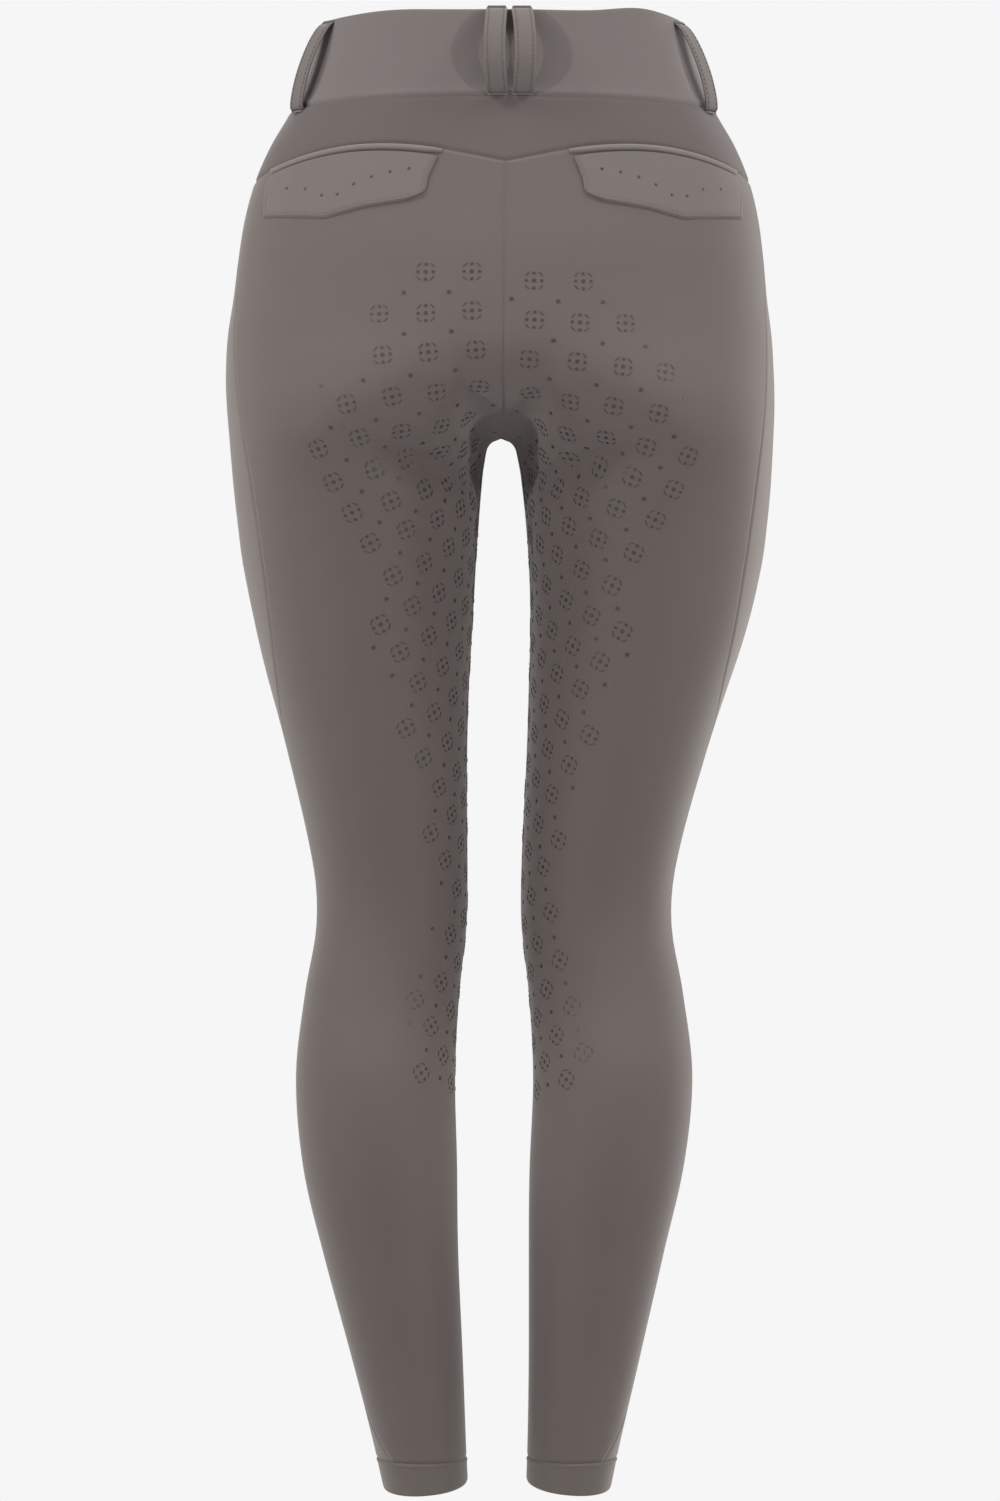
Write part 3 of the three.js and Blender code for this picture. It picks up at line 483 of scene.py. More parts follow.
def knit(name, colour, sheen=0.3, rough=0.86, rib=0.8, depth=0.05, mottle=0.05):
    """Fine stretch knit: ribs rib millimetres apart along the cloth's length, a faint cross
    rib, broken by noise, with a slightly uneven dye and a short soft nap."""
    material, nodes, links, shader, where = new_finish(name)

    def noise(scale, detail, source):
        made = nodes.new("ShaderNodeTexNoise")
        made.inputs["Scale"].default_value = scale
        made.inputs["Detail"].default_value = detail
        made.inputs["Roughness"].default_value = 0.6
        links.new(where.outputs[source], made.inputs["Vector"])
        return made.outputs["Fac"]

    def math_node(kind, a, b):
        made = nodes.new("ShaderNodeMath")
        made.operation = kind
        for socket, value in zip(made.inputs, (a, b)):
            if hasattr(value, "links"):
                links.new(value, socket)
            else:
                socket.default_value = value
        return made.outputs["Value"]

    def ribs(direction, spacing):
        made = nodes.new("ShaderNodeTexWave")
        made.bands_direction = direction
        made.inputs["Scale"].default_value = 2 * math.pi / (20 * spacing * 0.001)
        made.inputs["Distortion"].default_value = 0.6
        made.inputs["Detail"].default_value = 1
        links.new(where.outputs["UV"], made.inputs["Vector"])
        return made.outputs["Fac"]

    # dye: broad clouds and a fine grain round the colour
    clouds, grain = noise(14, 3, "Object"), noise(1400, 2, "Object")
    clouds, grain = math_node("MULTIPLY", clouds, mottle), math_node("MULTIPLY", grain, mottle)
    tone = math_node("ADD", math_node("ADD", clouds, grain), 1 - mottle)
    mix = nodes.new("ShaderNodeVectorMath")
    mix.operation = "SCALE"
    mix.inputs[0].default_value = colour
    links.new(tone, mix.inputs["Scale"])
    links.new(mix.outputs["Vector"], shader.inputs["Base Color"])
    # surface: long ribs, cross ribs at half the strength, and grain
    cross = math_node("MULTIPLY", ribs("Y", rib * 1.3), 0.5)
    height = math_node("ADD", ribs("X", rib), cross)
    height = math_node("ADD", height, math_node("MULTIPLY", noise(2200, 2, "Object"), 0.8))
    bump = nodes.new("ShaderNodeBump")
    bump.inputs["Strength"].default_value = 0.55
    bump.inputs["Distance"].default_value = depth * 0.001
    links.new(height, bump.inputs["Height"])
    links.new(bump.outputs["Normal"], shader.inputs["Normal"])
    shader.inputs["Roughness"].default_value = rough
    shader.inputs["Specular IOR Level"].default_value = 0.25
    shader.inputs["Sheen Weight"].default_value = sheen
    shader.inputs["Sheen Roughness"].default_value = 0.45
    shader.inputs["Sheen Tint"].default_value = (1.0, 0.96, 0.93, 1)
    return material


PANEL_ROWS, PANEL_COLUMNS = 190, 60
GROOVE_DEPTH, GROOVE_WIDTH = 0.9, 1.5
seat_knit = knit("seat knit", (0.141, 0.1165, 0.1085), sheen=0.42)


def to_edge(s, down):
    """Distance from each point of a grid to the nearest of its four edges."""
    return np.minimum(np.minimum(s, s[:, -1:] - s), np.minimum(down, down[-1:] - down))


def bell(distance, width):
    """1 at distance 0, falling off as exp(-(distance / width)^2)."""
    return np.exp(-(distance / width) ** 2)


def panel_grids(face, first_row):
    """Outer and inner grid of a panel and its chart. The outer side turns in at the seams by
    GROOVE_DEPTH bell(distance, GROOVE_WIDTH)."""
    row = lerp(first_row, LAST_ROW, crowded(PANEL_ROWS, pull=0.93))
    p = row_points(face, row.astype(float), crowded(PANEL_COLUMNS))
    high = row <= CROTCH_ROW
    # at the centre seam the way out of the cloth has no part across
    n = unit(slope(p))
    n[high, 0, 0] = 0
    n = unit(n)
    s, down = arcs(p, 1), arcs(p, 0)
    turned = GROOVE_DEPTH * bell(to_edge(s, down), GROOVE_WIDTH)
    inward = unit(p[:, 1] - p[:, 0])
    p[high, 0, 0] = HALF_GAP
    p[~high, 0] += inward[~high] * HALF_GAP
    p[:, -1] += unit(p[:, -2] - p[:, -1]) * HALF_GAP
    p[0, :, 2] -= HALF_GAP
    p[-1, :, 2] += HALF_GAP
    dip = hollow(p)[..., None]
    outer = p - n * (turned[..., None] + dip)
    inner = p - n * (CLOTH + dip)
    length = np.broadcast_to(down[:, :1], s.shape)
    return outer, inner, np.stack([s, length], -1)


seat_outer, seat_inner, seat_chart = panel_grids(1, 0)
for name, side in (("left", 1), ("right", -1)):
    piece = shell_object(f"seat_panel_{name}", seat_outer, seat_inner, seat_knit, seat_chart, side)
    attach(piece, "root")
    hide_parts(f"back_{name}")

# Grip print: marks of silicone, 0.3 mm high, on the seat and down the inner leg. Each is a dot
# with four dots round it inside a ring broken in four, with a single dot between every four
# marks. The rows follow the panel on the seat and lean toward the knee on the thigh.
PRINT_PITCH, PRINT_ROW = 30.3, 26.4
PRINT_FIRST = 20.5
PRINT_TOP = dict(left=76.5, right=83)
COLUMN_LEAN, COLUMN_FROM, COLUMN_TO = 0.72, 62, 305
ROW_LEAN, ROW_FROM, ROW_TO, ROW_PIVOT = 0.48, 70, 320, 50
TUCK, TUCK_FROM, TUCK_TO = 19.5, 150, 265
MARK = dict(ring=6.3, ring_width=0.34, ring_half_turn=17, dots=5.0, dot=1.0, middle=1.3, single=1.3)
MARK_HEIGHT, MARK_SINK = 0.3, 0.08
PRINT_START_Z, PRINT_END_Z = -172, -712
# The leg is searched for places in fine rows and columns, which start above the print
SEARCH_START_Z, SEARCH_STEP, SEARCH_COLUMNS, SEARCH_MISS = -110, 1.5, 241, 1.3
SEARCH_END_Z = PRINT_END_Z - 12
DOWN_AT_START = 9.5
# How close to the centre seam the marks and the single dots come, and how far the dots spread out
MARK_INNER, SINGLE_INNER, SINGLE_SPREAD = 10, 5, 3
PRINT_REACH = np.array([
    # height, how far out the print goes
    (-150, 57), (-182, 60), (-186, 88), (-234, 90), (-238, 131), (-285, 124), (-305, 114), (-330, 104),
    (-350, 93), (-370, 82), (-395, 90), (-405, 89), (-425, 77), (-445, 64), (-460, 54), (-466, 62),
    (-474, 62), (-480, 55), (-490, 55), (-512, 44), (-545, 44), (-565, 36), (-595, 38), (-625, 47),
    (-655, 56), (-690, 60), (-705, 49),
])


def glossy(name, colour, scale, smoothest, roughest):
    """A smooth hard finish whose roughness wanders between two values, as noise of a scale."""
    material, nodes, links, shader, where = new_finish(name)
    shader.inputs["Base Color"].default_value = (*colour, 1)
    film, gloss = nodes.new("ShaderNodeTexNoise"), nodes.new("ShaderNodeMapRange")
    film.inputs["Scale"].default_value = scale
    links.new(where.outputs["Object"], film.inputs["Vector"])
    gloss.inputs["To Min"].default_value = smoothest
    gloss.inputs["To Max"].default_value = roughest
    links.new(film.outputs["Fac"], gloss.inputs["Value"])
    links.new(gloss.outputs["Result"], shader.inputs["Roughness"])
    return material, shader


def silicone(name, colour):
    """Printed silicone: a dark, slightly glossy film."""
    material, shader = glossy(name, colour, 60, 0.3, 0.6)
    shader.inputs["Specular IOR Level"].default_value = 0.45
    return material


# The back of a leg in rows, from its inner side round to the outer one, with the distance across,
# taken round the leg from its hindmost line, and the distance down that line
search_z = np.arange(SEARCH_START_Z, SEARCH_END_Z, -SEARCH_STEP)[:, None]
search_grid = ring_point(np.linspace(math.pi, 0, SEARCH_COLUMNS)[None], search_z)
middle = SEARCH_COLUMNS // 2
hindmost = search_grid[:, middle]
across_leg = arcs(search_grid, 1)
across_leg += hindmost[:, :1] - across_leg[:, middle:middle + 1]
down_leg = DOWN_AT_START + arcs(hindmost[:, 1:], 0)[:, None]


def lattice(half_step, top):
    """Where the marks lie, and their lean. The column count is (across + the sum of the columns'
    lean - first) / pitch, the row count (down + tuck - (across - pivot) rows' lean - top) / row,
    and a mark lies wherever both are whole, or half past whole for the single dots."""
    column_lean = COLUMN_LEAN * smooth(down_leg, COLUMN_FROM, COLUMN_TO)
    row_lean = ROW_LEAN * smooth(down_leg, ROW_FROM, ROW_TO)
    drift = np.cumsum(column_lean * np.diff(down_leg, axis=0, prepend=down_leg[:1]), 0)
    tuck = TUCK * smooth(down_leg, TUCK_FROM, TUCK_TO)
    i = (across_leg + drift - PRINT_FIRST) / PRINT_PITCH - half_step
    j = (down_leg + tuck - (across_leg - ROW_PIVOT) * row_lean - top) / PRINT_ROW - half_step
    miss = np.hypot((i - np.round(i)) * PRINT_PITCH, (j - np.round(j)) * PRINT_ROW)
    key = np.round(i) * 1000 + np.round(j)
    order = np.lexsort((miss.ravel(), key.ravel()))
    _, first = np.unique(key.ravel()[order], return_index=True)
    best = order[first]
    best = best[miss.ravel()[best] < SEARCH_MISS]
    lean = (np.arctan(column_lean) + np.arctan(row_lean)) / 2
    return search_grid.reshape(-1, 3)[best], np.broadcast_to(lean, miss.shape).ravel()[best]


def within(at, inner, margin):
    """Which places lie inside the printed part of the panel."""
    reach = np.interp(-at[:, 2], -PRINT_REACH[:, 0], PRINT_REACH[:, 1]) + margin
    return ((at[:, 0] > inner) & (at[:, 0] < reach) & (at[:, 1] > section(at[:, 2])[1])
            & (at[:, 2] < PRINT_START_Z) & (at[:, 2] > PRINT_END_Z))


def raised(shape, base, out, way, lean):
    """Points of flat shapes laid on the cloth, one at each place: their tops MARK_HEIGHT above it
    and their undersides MARK_SINK in it. shape is points right and down, turned by lean."""
    down = np.cross(out, way)
    c, s = np.cos(lean)[:, None], np.sin(lean)[:, None]
    right, down = way * c + down * s, down * c - way * s
    p = base[:, None] + right[:, None] * shape[None, :, :1] + down[:, None] * shape[None, :, 1:]
    return onto(p, MARK_HEIGHT)[0], onto(p, -MARK_SINK)[0]


def disc_parts(radius, at=(0, 0), sides=10):
    """A disc's outline and its faces: top, underside and wall, as for a top and a foot ring."""
    turn = full_turn(sides)
    outline = np.stack([at[0] + radius * np.cos(turn), at[1] + radius * np.sin(turn)], -1)
    j, k = np.arange(sides), (np.arange(sides) + 1) % sides
    caps = np.stack([j, (j + sides)[::-1]])
    return outline, caps, np.stack([j + sides, k + sides, k, j], -1)


def arc_parts(radius, width, middle, half_turn, steps=6):
    """A piece of ring as a strip of two lines of points, with the faces of a closed shell."""
    turn = np.radians(middle + np.linspace(-half_turn, half_turn, steps))
    radii = (radius - width / 2, radius + width / 2)
    lines = [np.stack([r * np.cos(turn), r * np.sin(turn)], -1) for r in radii]
    return np.concatenate(lines), shell_faces(2, steps)


def laid(parts, base, out, way, lean):
    """Points and faces of one shape repeated at every place."""
    outline, groups = parts[0], parts[1:]
    top, foot = raised(outline, base, out, way, lean)
    points = np.concatenate([top, foot], 1)
    return points.reshape(-1, 3), [repeated(g, points.shape[1], len(base)) for g in groups]


def joined(pieces):
    """One set of points and faces from several."""
    points, groups, total = [], {}, 0
    for p, faces in pieces:
        for f in faces:
            groups.setdefault(f.shape[1], []).append(f + total)
        points.append(p)
        total += len(p)
    return np.concatenate(points), [np.concatenate(groups[k]) for k in sorted(groups)]


grip = silicone("grip silicone", (0.062, 0.052, 0.048))
mark = [disc_parts(MARK["middle"])]
for k in range(4):
    turn = math.radians(90 * k)
    place = (MARK["dots"] * math.cos(turn), MARK["dots"] * math.sin(turn))
    mark.append(disc_parts(MARK["dot"], place, 8))
    mark.append(arc_parts(MARK["ring"], MARK["ring_width"], 45 + 90 * k, MARK["ring_half_turn"]))
single = [disc_parts(MARK["single"])]
print_kinds = ((mark, 0.0, MARK_INNER, 0), (single, 0.5, SINGLE_INNER, SINGLE_SPREAD))
for name, side in (("left", 1), ("right", -1)):
    pieces = []
    for shapes, half_step, inner, margin in print_kinds:
        at, lean = lattice(half_step, PRINT_TOP[name])
        keep = within(at, inner, margin)
        at, out = onto(at[keep], 0)
        way = unit(np.cross(out, np.array([0.0, 0, 1])))
        pieces += [laid(shape, at, out, way, lean[keep]) for shape in shapes]
    points, faces = joined(pieces)
    piece = mesh_object(f"grip_print_{name}", points, faces, grip, side=side, flat=True)
    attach(piece, "root")

# Front panels: the same knit, painted a little lighter as a painted highlight for the sheen and light
# on the strip of front cloth seen at the sides. They run from the waistband to the ankle, wrap round
# the outer thigh and the ankle, so their edge shows from behind, and carry the fly.
front_knit_painted_light = knit("front knit painted light", (0.182, 0.151, 0.1405), sheen=0.42)
front_outer, front_inner, front_chart = panel_grids(-1, -YOKE_ROWS)
for name, side in (("left", 1), ("right", -1)):
    piece = shell_object(f"front_panel_{name}", front_outer, front_inner, front_knit_painted_light, front_chart, side)
    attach(piece, "root")
    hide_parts(f"front_{name}")

# Fly: two lines of stitches on the left front that turn in to the centre seam below the zip. The
# closed zip, woven tape with moulded teeth, is sewn behind the centre front edges.
FLY_LINE = [(27, -60), (27, -150), (25, -168), (20, -184), (11, -196), (2, -202)]
FLY_STEP, FLY_BEND_X = 5, 26
STITCH = dict(pitch=3.0, length=2.3, width=0.55, height=0.28)
# Points along a line of stitches before it is laid on the cloth, and how deep it lies in a groove
SEAM_POINTS, THREAD_SINK = 400, 0.1


def thread(name, colour):
    """Sewing thread: a little glossier than the cloth, its twist shown as fine slanted bands."""
    material, nodes, links, shader, where = new_finish(name)
    twist = nodes.new("ShaderNodeTexWave")
    twist.bands_direction = "DIAGONAL"
    twist.inputs["Scale"].default_value = 900
    links.new(where.outputs["Object"], twist.inputs["Vector"])
    bump = nodes.new("ShaderNodeBump")
    bump.inputs["Strength"].default_value = 0.4
    bump.inputs["Distance"].default_value = 0.00004
    links.new(twist.outputs["Fac"], bump.inputs["Height"])
    links.new(bump.outputs["Normal"], shader.inputs["Normal"])
    shader.inputs["Base Color"].default_value = (*colour, 1)
    shader.inputs["Roughness"].default_value = 0.55
    shader.inputs["Sheen Weight"].default_value = 0.2
    return material


def evened(line, pitch, near=0.3):
    """Places a pitch apart along a line of points, and the direction of the line at each, from
    the places near it on either side."""
    lengths = lengths_of(line)
    count = max(int(lengths[-1] / pitch), 1)
    at = (np.arange(count) + 0.5) * lengths[-1] / count

    def place(t):
        return np.stack([np.interp(t, lengths, line[:, k]) for k in range(line.shape[1])], -1)

    return place(at), unit(place(at + near) - place(at - near))


# Sections of a stitch: share of its length, thickness and how high it lies, in stitch heights
STITCH_SECTIONS = ((-0.5, 0.5, -0.6), (-0.2, 1, 0.2), (0.2, 1, 0.2), (0.5, 0.5, -0.6))


def stitch_solids(at, way, out, length, width, height):
    """One stitch at each place: a four-sided bar, thick in the middle, its ends in the cloth."""
    across = np.cross(out, way)
    rings = []
    for share, size, lift in STITCH_SECTIONS:
        middle = at + way * length * share + out * height * lift
        rings.append(np.stack([middle - across * width / 2 * size, middle + out * height * size,
                               middle + across * width / 2 * size, middle - out * height * size], 1))
    points = np.concatenate(rings, 1)
    ends = np.array([[3, 2, 1, 0], [12, 13, 14, 15]])
    faces = np.concatenate([grid_faces(len(rings), 4, ring=True), ends])
    return points.reshape(-1, 3), [repeated(faces, points.shape[1], len(at))]


def seen_from(face, xz, lift):
    """Points on the front or back of the cloth at places seen straight on, lifted off it."""
    start = xyz(xz[..., 0], 0, xz[..., 1])
    p = start + xyz(0, face, 0) * exit_distance(start, np.array([0.0, face, 0]))[..., None]
    return onto(p, lift, 1)


def stitched(line, out):
    """Stitches a pitch apart along a line of points; out gives the way out of the cloth."""
    at, way = evened(line, STITCH["pitch"])
    return stitch_solids(at, way, out(at, way), STITCH["length"], STITCH["width"], STITCH["height"])


def sewn(face, line, lift=0.0):
    """Stitches along a line of (x, z) places on the front or back of the cloth."""
    line = np.array(line, float)
    at, ends = np.linspace(0, 1, SEAM_POINTS), np.linspace(0, 1, len(line))
    dense = np.stack([np.interp(at, ends, line[:, k]) for k in range(2)], -1)
    p, _ = seen_from(face, dense, lift)
    return stitched(p, lambda at, way: unit(slope(at)))


front_thread = thread("front thread", (0.15, 0.13, 0.118))
# The second line runs FLY_STEP outside the first one and, past the bend, below it
outer_line = [(x + FLY_STEP, z - (FLY_STEP if x < FLY_BEND_X else 0)) for x, z in FLY_LINE]
points, faces = joined([sewn(-1, FLY_LINE), sewn(-1, outer_line)])
fly_stitches = mesh_object("fly_stitches", points, faces, front_thread, flat=True)
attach(fly_stitches, "root")

# The zip's tape runs down behind the fronts, and its teeth stand in two rows that mesh
ZIP_TOP, ZIP_BOTTOM, ZIP_HALF, ZIP_THICK = -60, -190, 12, 1.0
ZIP_ROWS, ZIP_COLUMNS, TEETH_POINTS = 60, 13, 200
TOOTH = dict(pitch=2.2, length=2.6, height=1.0, thick=1.1, shift=0.55)
TEETH_TOP, TEETH_BOTTOM = ZIP_TOP - 4, ZIP_BOTTOM + 6
tape_knit = knit("zip tape weave", (0.10, 0.088, 0.082), sheen=0.1, rib=0.6)
z = np.linspace(ZIP_TOP, ZIP_BOTTOM, ZIP_ROWS)[:, None]
x = np.linspace(-ZIP_HALF, ZIP_HALF, ZIP_COLUMNS)[None]
xz = np.stack(np.broadcast_arrays(x, z), -1)
back = -(CLOTH + LAYER_GAP)
outer, _ = seen_from(-1, xz, back)
inner, _ = seen_from(-1, xz, back - ZIP_THICK)
zip_piece = shell_object("zip_tape_cloth", outer, inner, tape_knit, xz)
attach(zip_piece, "root")
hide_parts("zip_tape")
line = np.stack([np.zeros(TEETH_POINTS), np.linspace(TEETH_TOP, TEETH_BOTTOM, TEETH_POINTS)], -1)
p, _ = seen_from(-1, line, back - ZIP_THICK)
at, way = evened(p, TOOTH["pitch"] / 2)
out = -unit(slope(at))
across = np.cross(out, way)
shift = np.where(np.arange(len(at)) % 2, TOOTH["shift"], -TOOTH["shift"])[:, None]
points, faces = stitch_solids(at + across * shift, across, out, TOOTH["length"], TOOTH["height"],
                              TOOTH["thick"])
tooth_plastic, _, _, shader, _ = new_finish("moulded teeth")
shader.inputs["Base Color"].default_value = (0.07, 0.062, 0.058, 1)
shader.inputs["Roughness"].default_value = 0.4
zip_teeth = mesh_object("zip_teeth", points, faces, tooth_plastic, flat=True)
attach(zip_teeth, "root")

# Yoke: a smooth, darker band of firm knit across the back, cut in one piece and sewn between
# the waistband and the seat. Its lower edge is a shallow V that arches over the flaps.
YOKE_GRID_ROWS, YOKE_COLUMNS = 26, 56
yoke_knit = knit("yoke knit", (0.131, 0.109, 0.1035), sheen=0.22, mottle=0.03)
row = lerp(-YOKE_ROWS, 0, crowded(YOKE_GRID_ROWS, pull=0.8))
half = row_points(1, row.astype(float), np.linspace(0, 1, YOKE_COLUMNS))
normal = unit(slope(half))
normal[:, 0, 0] = 0
half[:, -1] += unit(half[:, -2] - half[:, -1]) * HALF_GAP
half[0, :, 2] -= HALF_GAP
half[-1, :, 2] += HALF_GAP
mirror = np.array([-1.0, 1, 1])
whole = np.concatenate([half[:, :0:-1] * mirror, half], 1)
normal = unit(np.concatenate([normal[:, :0:-1] * mirror, normal], 1))
s, down = arcs(whole, 1), arcs(whole, 0)
turned = GROOVE_DEPTH * bell(to_edge(s, down), GROOVE_WIDTH)[..., None]
yoke = shell_object("yoke", whole - normal * turned, whole - normal * CLOTH, yoke_knit,
                    np.stack([s, down], -1))
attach(yoke, "root")
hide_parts("yoke_back")

# Waistband: one strip of doubled knit all round, its fold at the top and its allowance enclosed.
# It is sewn to the yoke and the fronts, and its left end lies over its right one at centre front.
BAND_COLUMNS, BAND_LEVELS = 200, 22
# How far each end reaches past the centre, and the turn over which the right one dips under
OVERLAP, UNDERLAP_FROM, UNDERLAP_FULL = 16, 0.36, 0.14
# Where the top edge stands up at the back: place across, half width and height
BAND_RISES = ((75, 30, 1.6), (-90, 25, 4.5))
RISE_FROM_Y, RISE_FULL_Y = -10, 40
# The rounded fold, and the lip that stands out just above the lower seam
FOLD_DEPTH, FOLD_WIDTH = 0.5, 0.6
LIP = dict(above_seam=2.4, width=1.7, height=0.7)
band_knit = knit("waistband knit", (0.176, 0.152, 0.145), sheen=0.3)
level = lerp(0, -BAND_HEIGHT + HALF_GAP, crowded(BAND_LEVELS, pull=0.8))[:, None]
half_overlap = np.arcsin(OVERLAP / section(level)[2])
front = 1.5 * math.pi
share = crowded(BAND_COLUMNS, pull=0.5)[None]
turn = lerp(-math.pi / 2 - half_overlap, front + half_overlap, share)
band = ring_point(turn, np.broadcast_to(level, turn.shape))
rise = sum(high * bell(band[..., 0] - at, wide) for at, wide, high in BAND_RISES)
band[..., 2] += rise * smooth(band[..., 1], RISE_FROM_Y, RISE_FULL_Y) * (1 + level / BAND_HEIGHT)
normal = unit(slope(band))
under = smooth(turn, front - UNDERLAP_FROM, front - UNDERLAP_FULL)[..., None]
band = band - normal * under * (CLOTH + LAYER_GAP)
s, down = arcs(band, 1), arcs(band, 0)
low = down[-1:] - down
turned = GROOVE_DEPTH * bell(low, GROOVE_WIDTH)
turned += FOLD_DEPTH * bell(np.minimum(np.minimum(s, s[:, -1:] - s), down), FOLD_WIDTH)
turned -= LIP["height"] * bell(low - LIP["above_seam"], LIP["width"])
inside = CLOTH - FOLD_DEPTH * bell(down, FOLD_WIDTH)
waistband = shell_object("waistband_strip", band - normal * turned[..., None],
                         band - normal * inside[..., None], band_knit, np.stack([s, down], -1))
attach(waistband, "root")
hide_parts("waistband")

# Pocket welts and flaps: a piped welt under the yoke, and a pointed flap of the front cloth,
# edge stitched, with a shallow V of small pressed studs.
WELT = dict(inner=41, outer=154, height=4.3, thick=2.1, below_seam=0.45, lift=0.15)
# At its inner end a welt narrows to a share of its height and runs out flat, longer than outside
WELT_END = dict(narrow=0.45, narrow_over=10, flat_over=2.0, inner_longer=3)
# A flap's thickness at its edge, how far it rises inside that, and where its stitches and studs
# sit. Its top edge is under the welt, so it counts as this far from an edge there.
FLAP_EDGE, FLAP_RISE, FLAP_TOP = 0.25, 1.6, 1.7
FLAP_TOP_HIDDEN = 3
FLAP_SIDES = dict(
    inner=[(44, -98.2), (47.2, -105), (50, -112), (51, -119), (53, -122.3), (56, -124)],
    lower=[(56, -124), (66, -127.3), (93, -131.2), (117, -137.2), (128, -136), (157, -133)],
    outer=[(155, -105.6), (156.6, -112), (157.4, -120), (157.4, -127), (157, -133)],
)
trim_knit = knit("trim knit", (0.172, 0.148, 0.138), sheen=0.3)
welt_knit = knit("welt knit", (0.20, 0.176, 0.163), sheen=0.4)


def spread(points, count):
    """A line of points evened out to count points by its length."""
    return along_line(np.array(points, float), np.linspace(0, 1, count))


# A welt's section is half an ellipse, sqrt(1 - (2v - 1)^2), with v down its height
u, v = np.linspace(0, 1, 61)[None], np.linspace(0, 1, 9)[:, None]
length = WELT["outer"] - WELT["inner"]
x = lerp(WELT["inner"], WELT["outer"], u)
narrow = lerp(WELT_END["narrow"], 1, np.clip(u * length / WELT_END["narrow_over"], 0, 1) ** 0.6)
welt_z = yoke_edge(x) - WELT["below_seam"] - v * WELT["height"] * narrow
xz = np.stack(np.broadcast_arrays(x, welt_z), -1)
from_end = np.minimum(u / WELT_END["inner_longer"], 1 - u) * length
end = np.clip(from_end / WELT_END["flat_over"], 0, 1) ** 0.5
rise = np.sqrt(np.clip(1 - (2 * v - 1) ** 2, 0, 1)) * end
outer, _ = seen_from(1, xz, LAYER_GAP + WELT["lift"] + WELT["thick"] * rise)
inner, _ = seen_from(1, xz, LAYER_GAP)
for name, side in (("left", 1), ("right", -1)):
    piece = shell_object(f"welt_piping_{name}", outer, inner, welt_knit, xz, side)
    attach(piece, "root")
    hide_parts(f"welt_{name}")


def on_side(name, t):
    """Place on a side of the flap at a share t of its length."""
    line = spread(FLAP_SIDES[name], 40)
    return np.stack([np.interp(t, np.linspace(0, 1, 40), line[:, k]) for k in range(2)], -1)


# The flap's grid lies between its four sides: the two straight blends of facing sides, added,
# less the blend of the four corners
FLAP_ROWS, FLAP_COLUMNS = 34, 76
FLAP_TOP_X, FLAP_TOP_GAP = (44, 155), 1.0
FLAP_ROUND = 0.9
FLAP_GROOVE = dict(in_from_edge=2.6, width=0.5, depth=0.22)
v, u = crowded(FLAP_ROWS)[:, None], crowded(FLAP_COLUMNS)[None]
top_x = lerp(*FLAP_TOP_X, u)
top = np.stack([top_x, yoke_edge(top_x) - WELT["height"] - FLAP_TOP_GAP], -1)
low = on_side("lower", u)
u3, v3 = u[..., None], v[..., None]
corners = (lerp(top[:, :1], top[:, -1:], u3) * (1 - v3) + lerp(low[:, :1], low[:, -1:], u3) * v3)
flap_xz = lerp(on_side("inner", v), on_side("outer", v), u3) + lerp(top, low, v3) - corners
flat_p = np.concatenate([flap_xz, np.zeros(flap_xz.shape[:-1] + (1,))], -1)
s, down = arcs(flat_p, 1), arcs(flat_p, 0)
near = np.minimum(np.minimum(s, s[:, -1:] - s), np.minimum(down + FLAP_TOP_HIDDEN, down[-1:] - down))
lift = LAYER_GAP + FLAP_EDGE + FLAP_RISE * (1 - bell(near, FLAP_ROUND))
lift -= FLAP_GROOVE["depth"] * bell(near - FLAP_GROOVE["in_from_edge"], FLAP_GROOVE["width"])
flap_outer, _ = seen_from(1, flap_xz, lift)
flap_inner, _ = seen_from(1, flap_xz, LAYER_GAP)
for name, side in (("left", 1), ("right", -1)):
    piece = shell_object(f"pocket_flap_{name}", flap_outer, flap_inner, trim_knit,
                         np.stack([s, down], -1), side)
    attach(piece, "root")
    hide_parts(f"flap_{name}")

# Edge stitches in the flap's groove, and the row of studs, which are low domes
STUD_LINE = [(56, -105.5), (80, -109), (94, -113.5), (114, -125.5), (122, -118.5), (135, -115.2),
             (147, -115.5)]
STUD_PITCH, STUD_RADIUS, STUD_HEIGHT, STUD_SIDES = 11.8, 1.15, 0.55, 12
STUD_PROFILE = ((1, -0.2), (1, 0.15), (0.85, 0.6), (0.5, 0.92), (0.15, 1.0))
top_lift = LAYER_GAP + FLAP_TOP
# The flap's edge stitches are real, but their thread is coloured darker than the band thread as painted
# shade: the dark stands for the shadow line along the flap's edges.
flap_thread_painted_shade = thread("flap thread painted shade", (0.085, 0.073, 0.068))
FLAP_STITCH_LINE = [
    (46.8, -100), (50, -105.5), (52.7, -112), (53.7, -118.5), (57, -121.4), (66.5, -124.7),
    (93.3, -128.6), (117.2, -134.5), (128, -133.4), (154.6, -130.6), (154.8, -120), (152.6, -108),
]
points, faces = sewn(1, spread(FLAP_STITCH_LINE, 300), top_lift - THREAD_SINK)
stud_at, _ = evened(np.array(STUD_LINE, float), STUD_PITCH)
stud_at, out = seen_from(1, stud_at, top_lift)
side_way = unit(np.cross(out, np.array([0, 0, 1.0])))
up_way = np.cross(side_way, out)
turn = full_turn(STUD_SIDES)
circle = side_way[:, None] * np.cos(turn)[:, None] + up_way[:, None] * np.sin(turn)[:, None]
stud_points = np.concatenate([
    stud_at[:, None] + circle * STUD_RADIUS * wide + out[:, None] * STUD_HEIGHT * high
    for wide, high in STUD_PROFILE
], 1)
walls = grid_faces(len(STUD_PROFILE), STUD_SIDES, ring=True)
count = stud_points.shape[1]
caps = np.stack([np.arange(STUD_SIDES)[::-1], np.arange(count - STUD_SIDES, count)])
stud_faces = [repeated(group, count, len(stud_at)) for group in (walls, caps)]
stud_material = silicone("stud", (0.05, 0.043, 0.040))
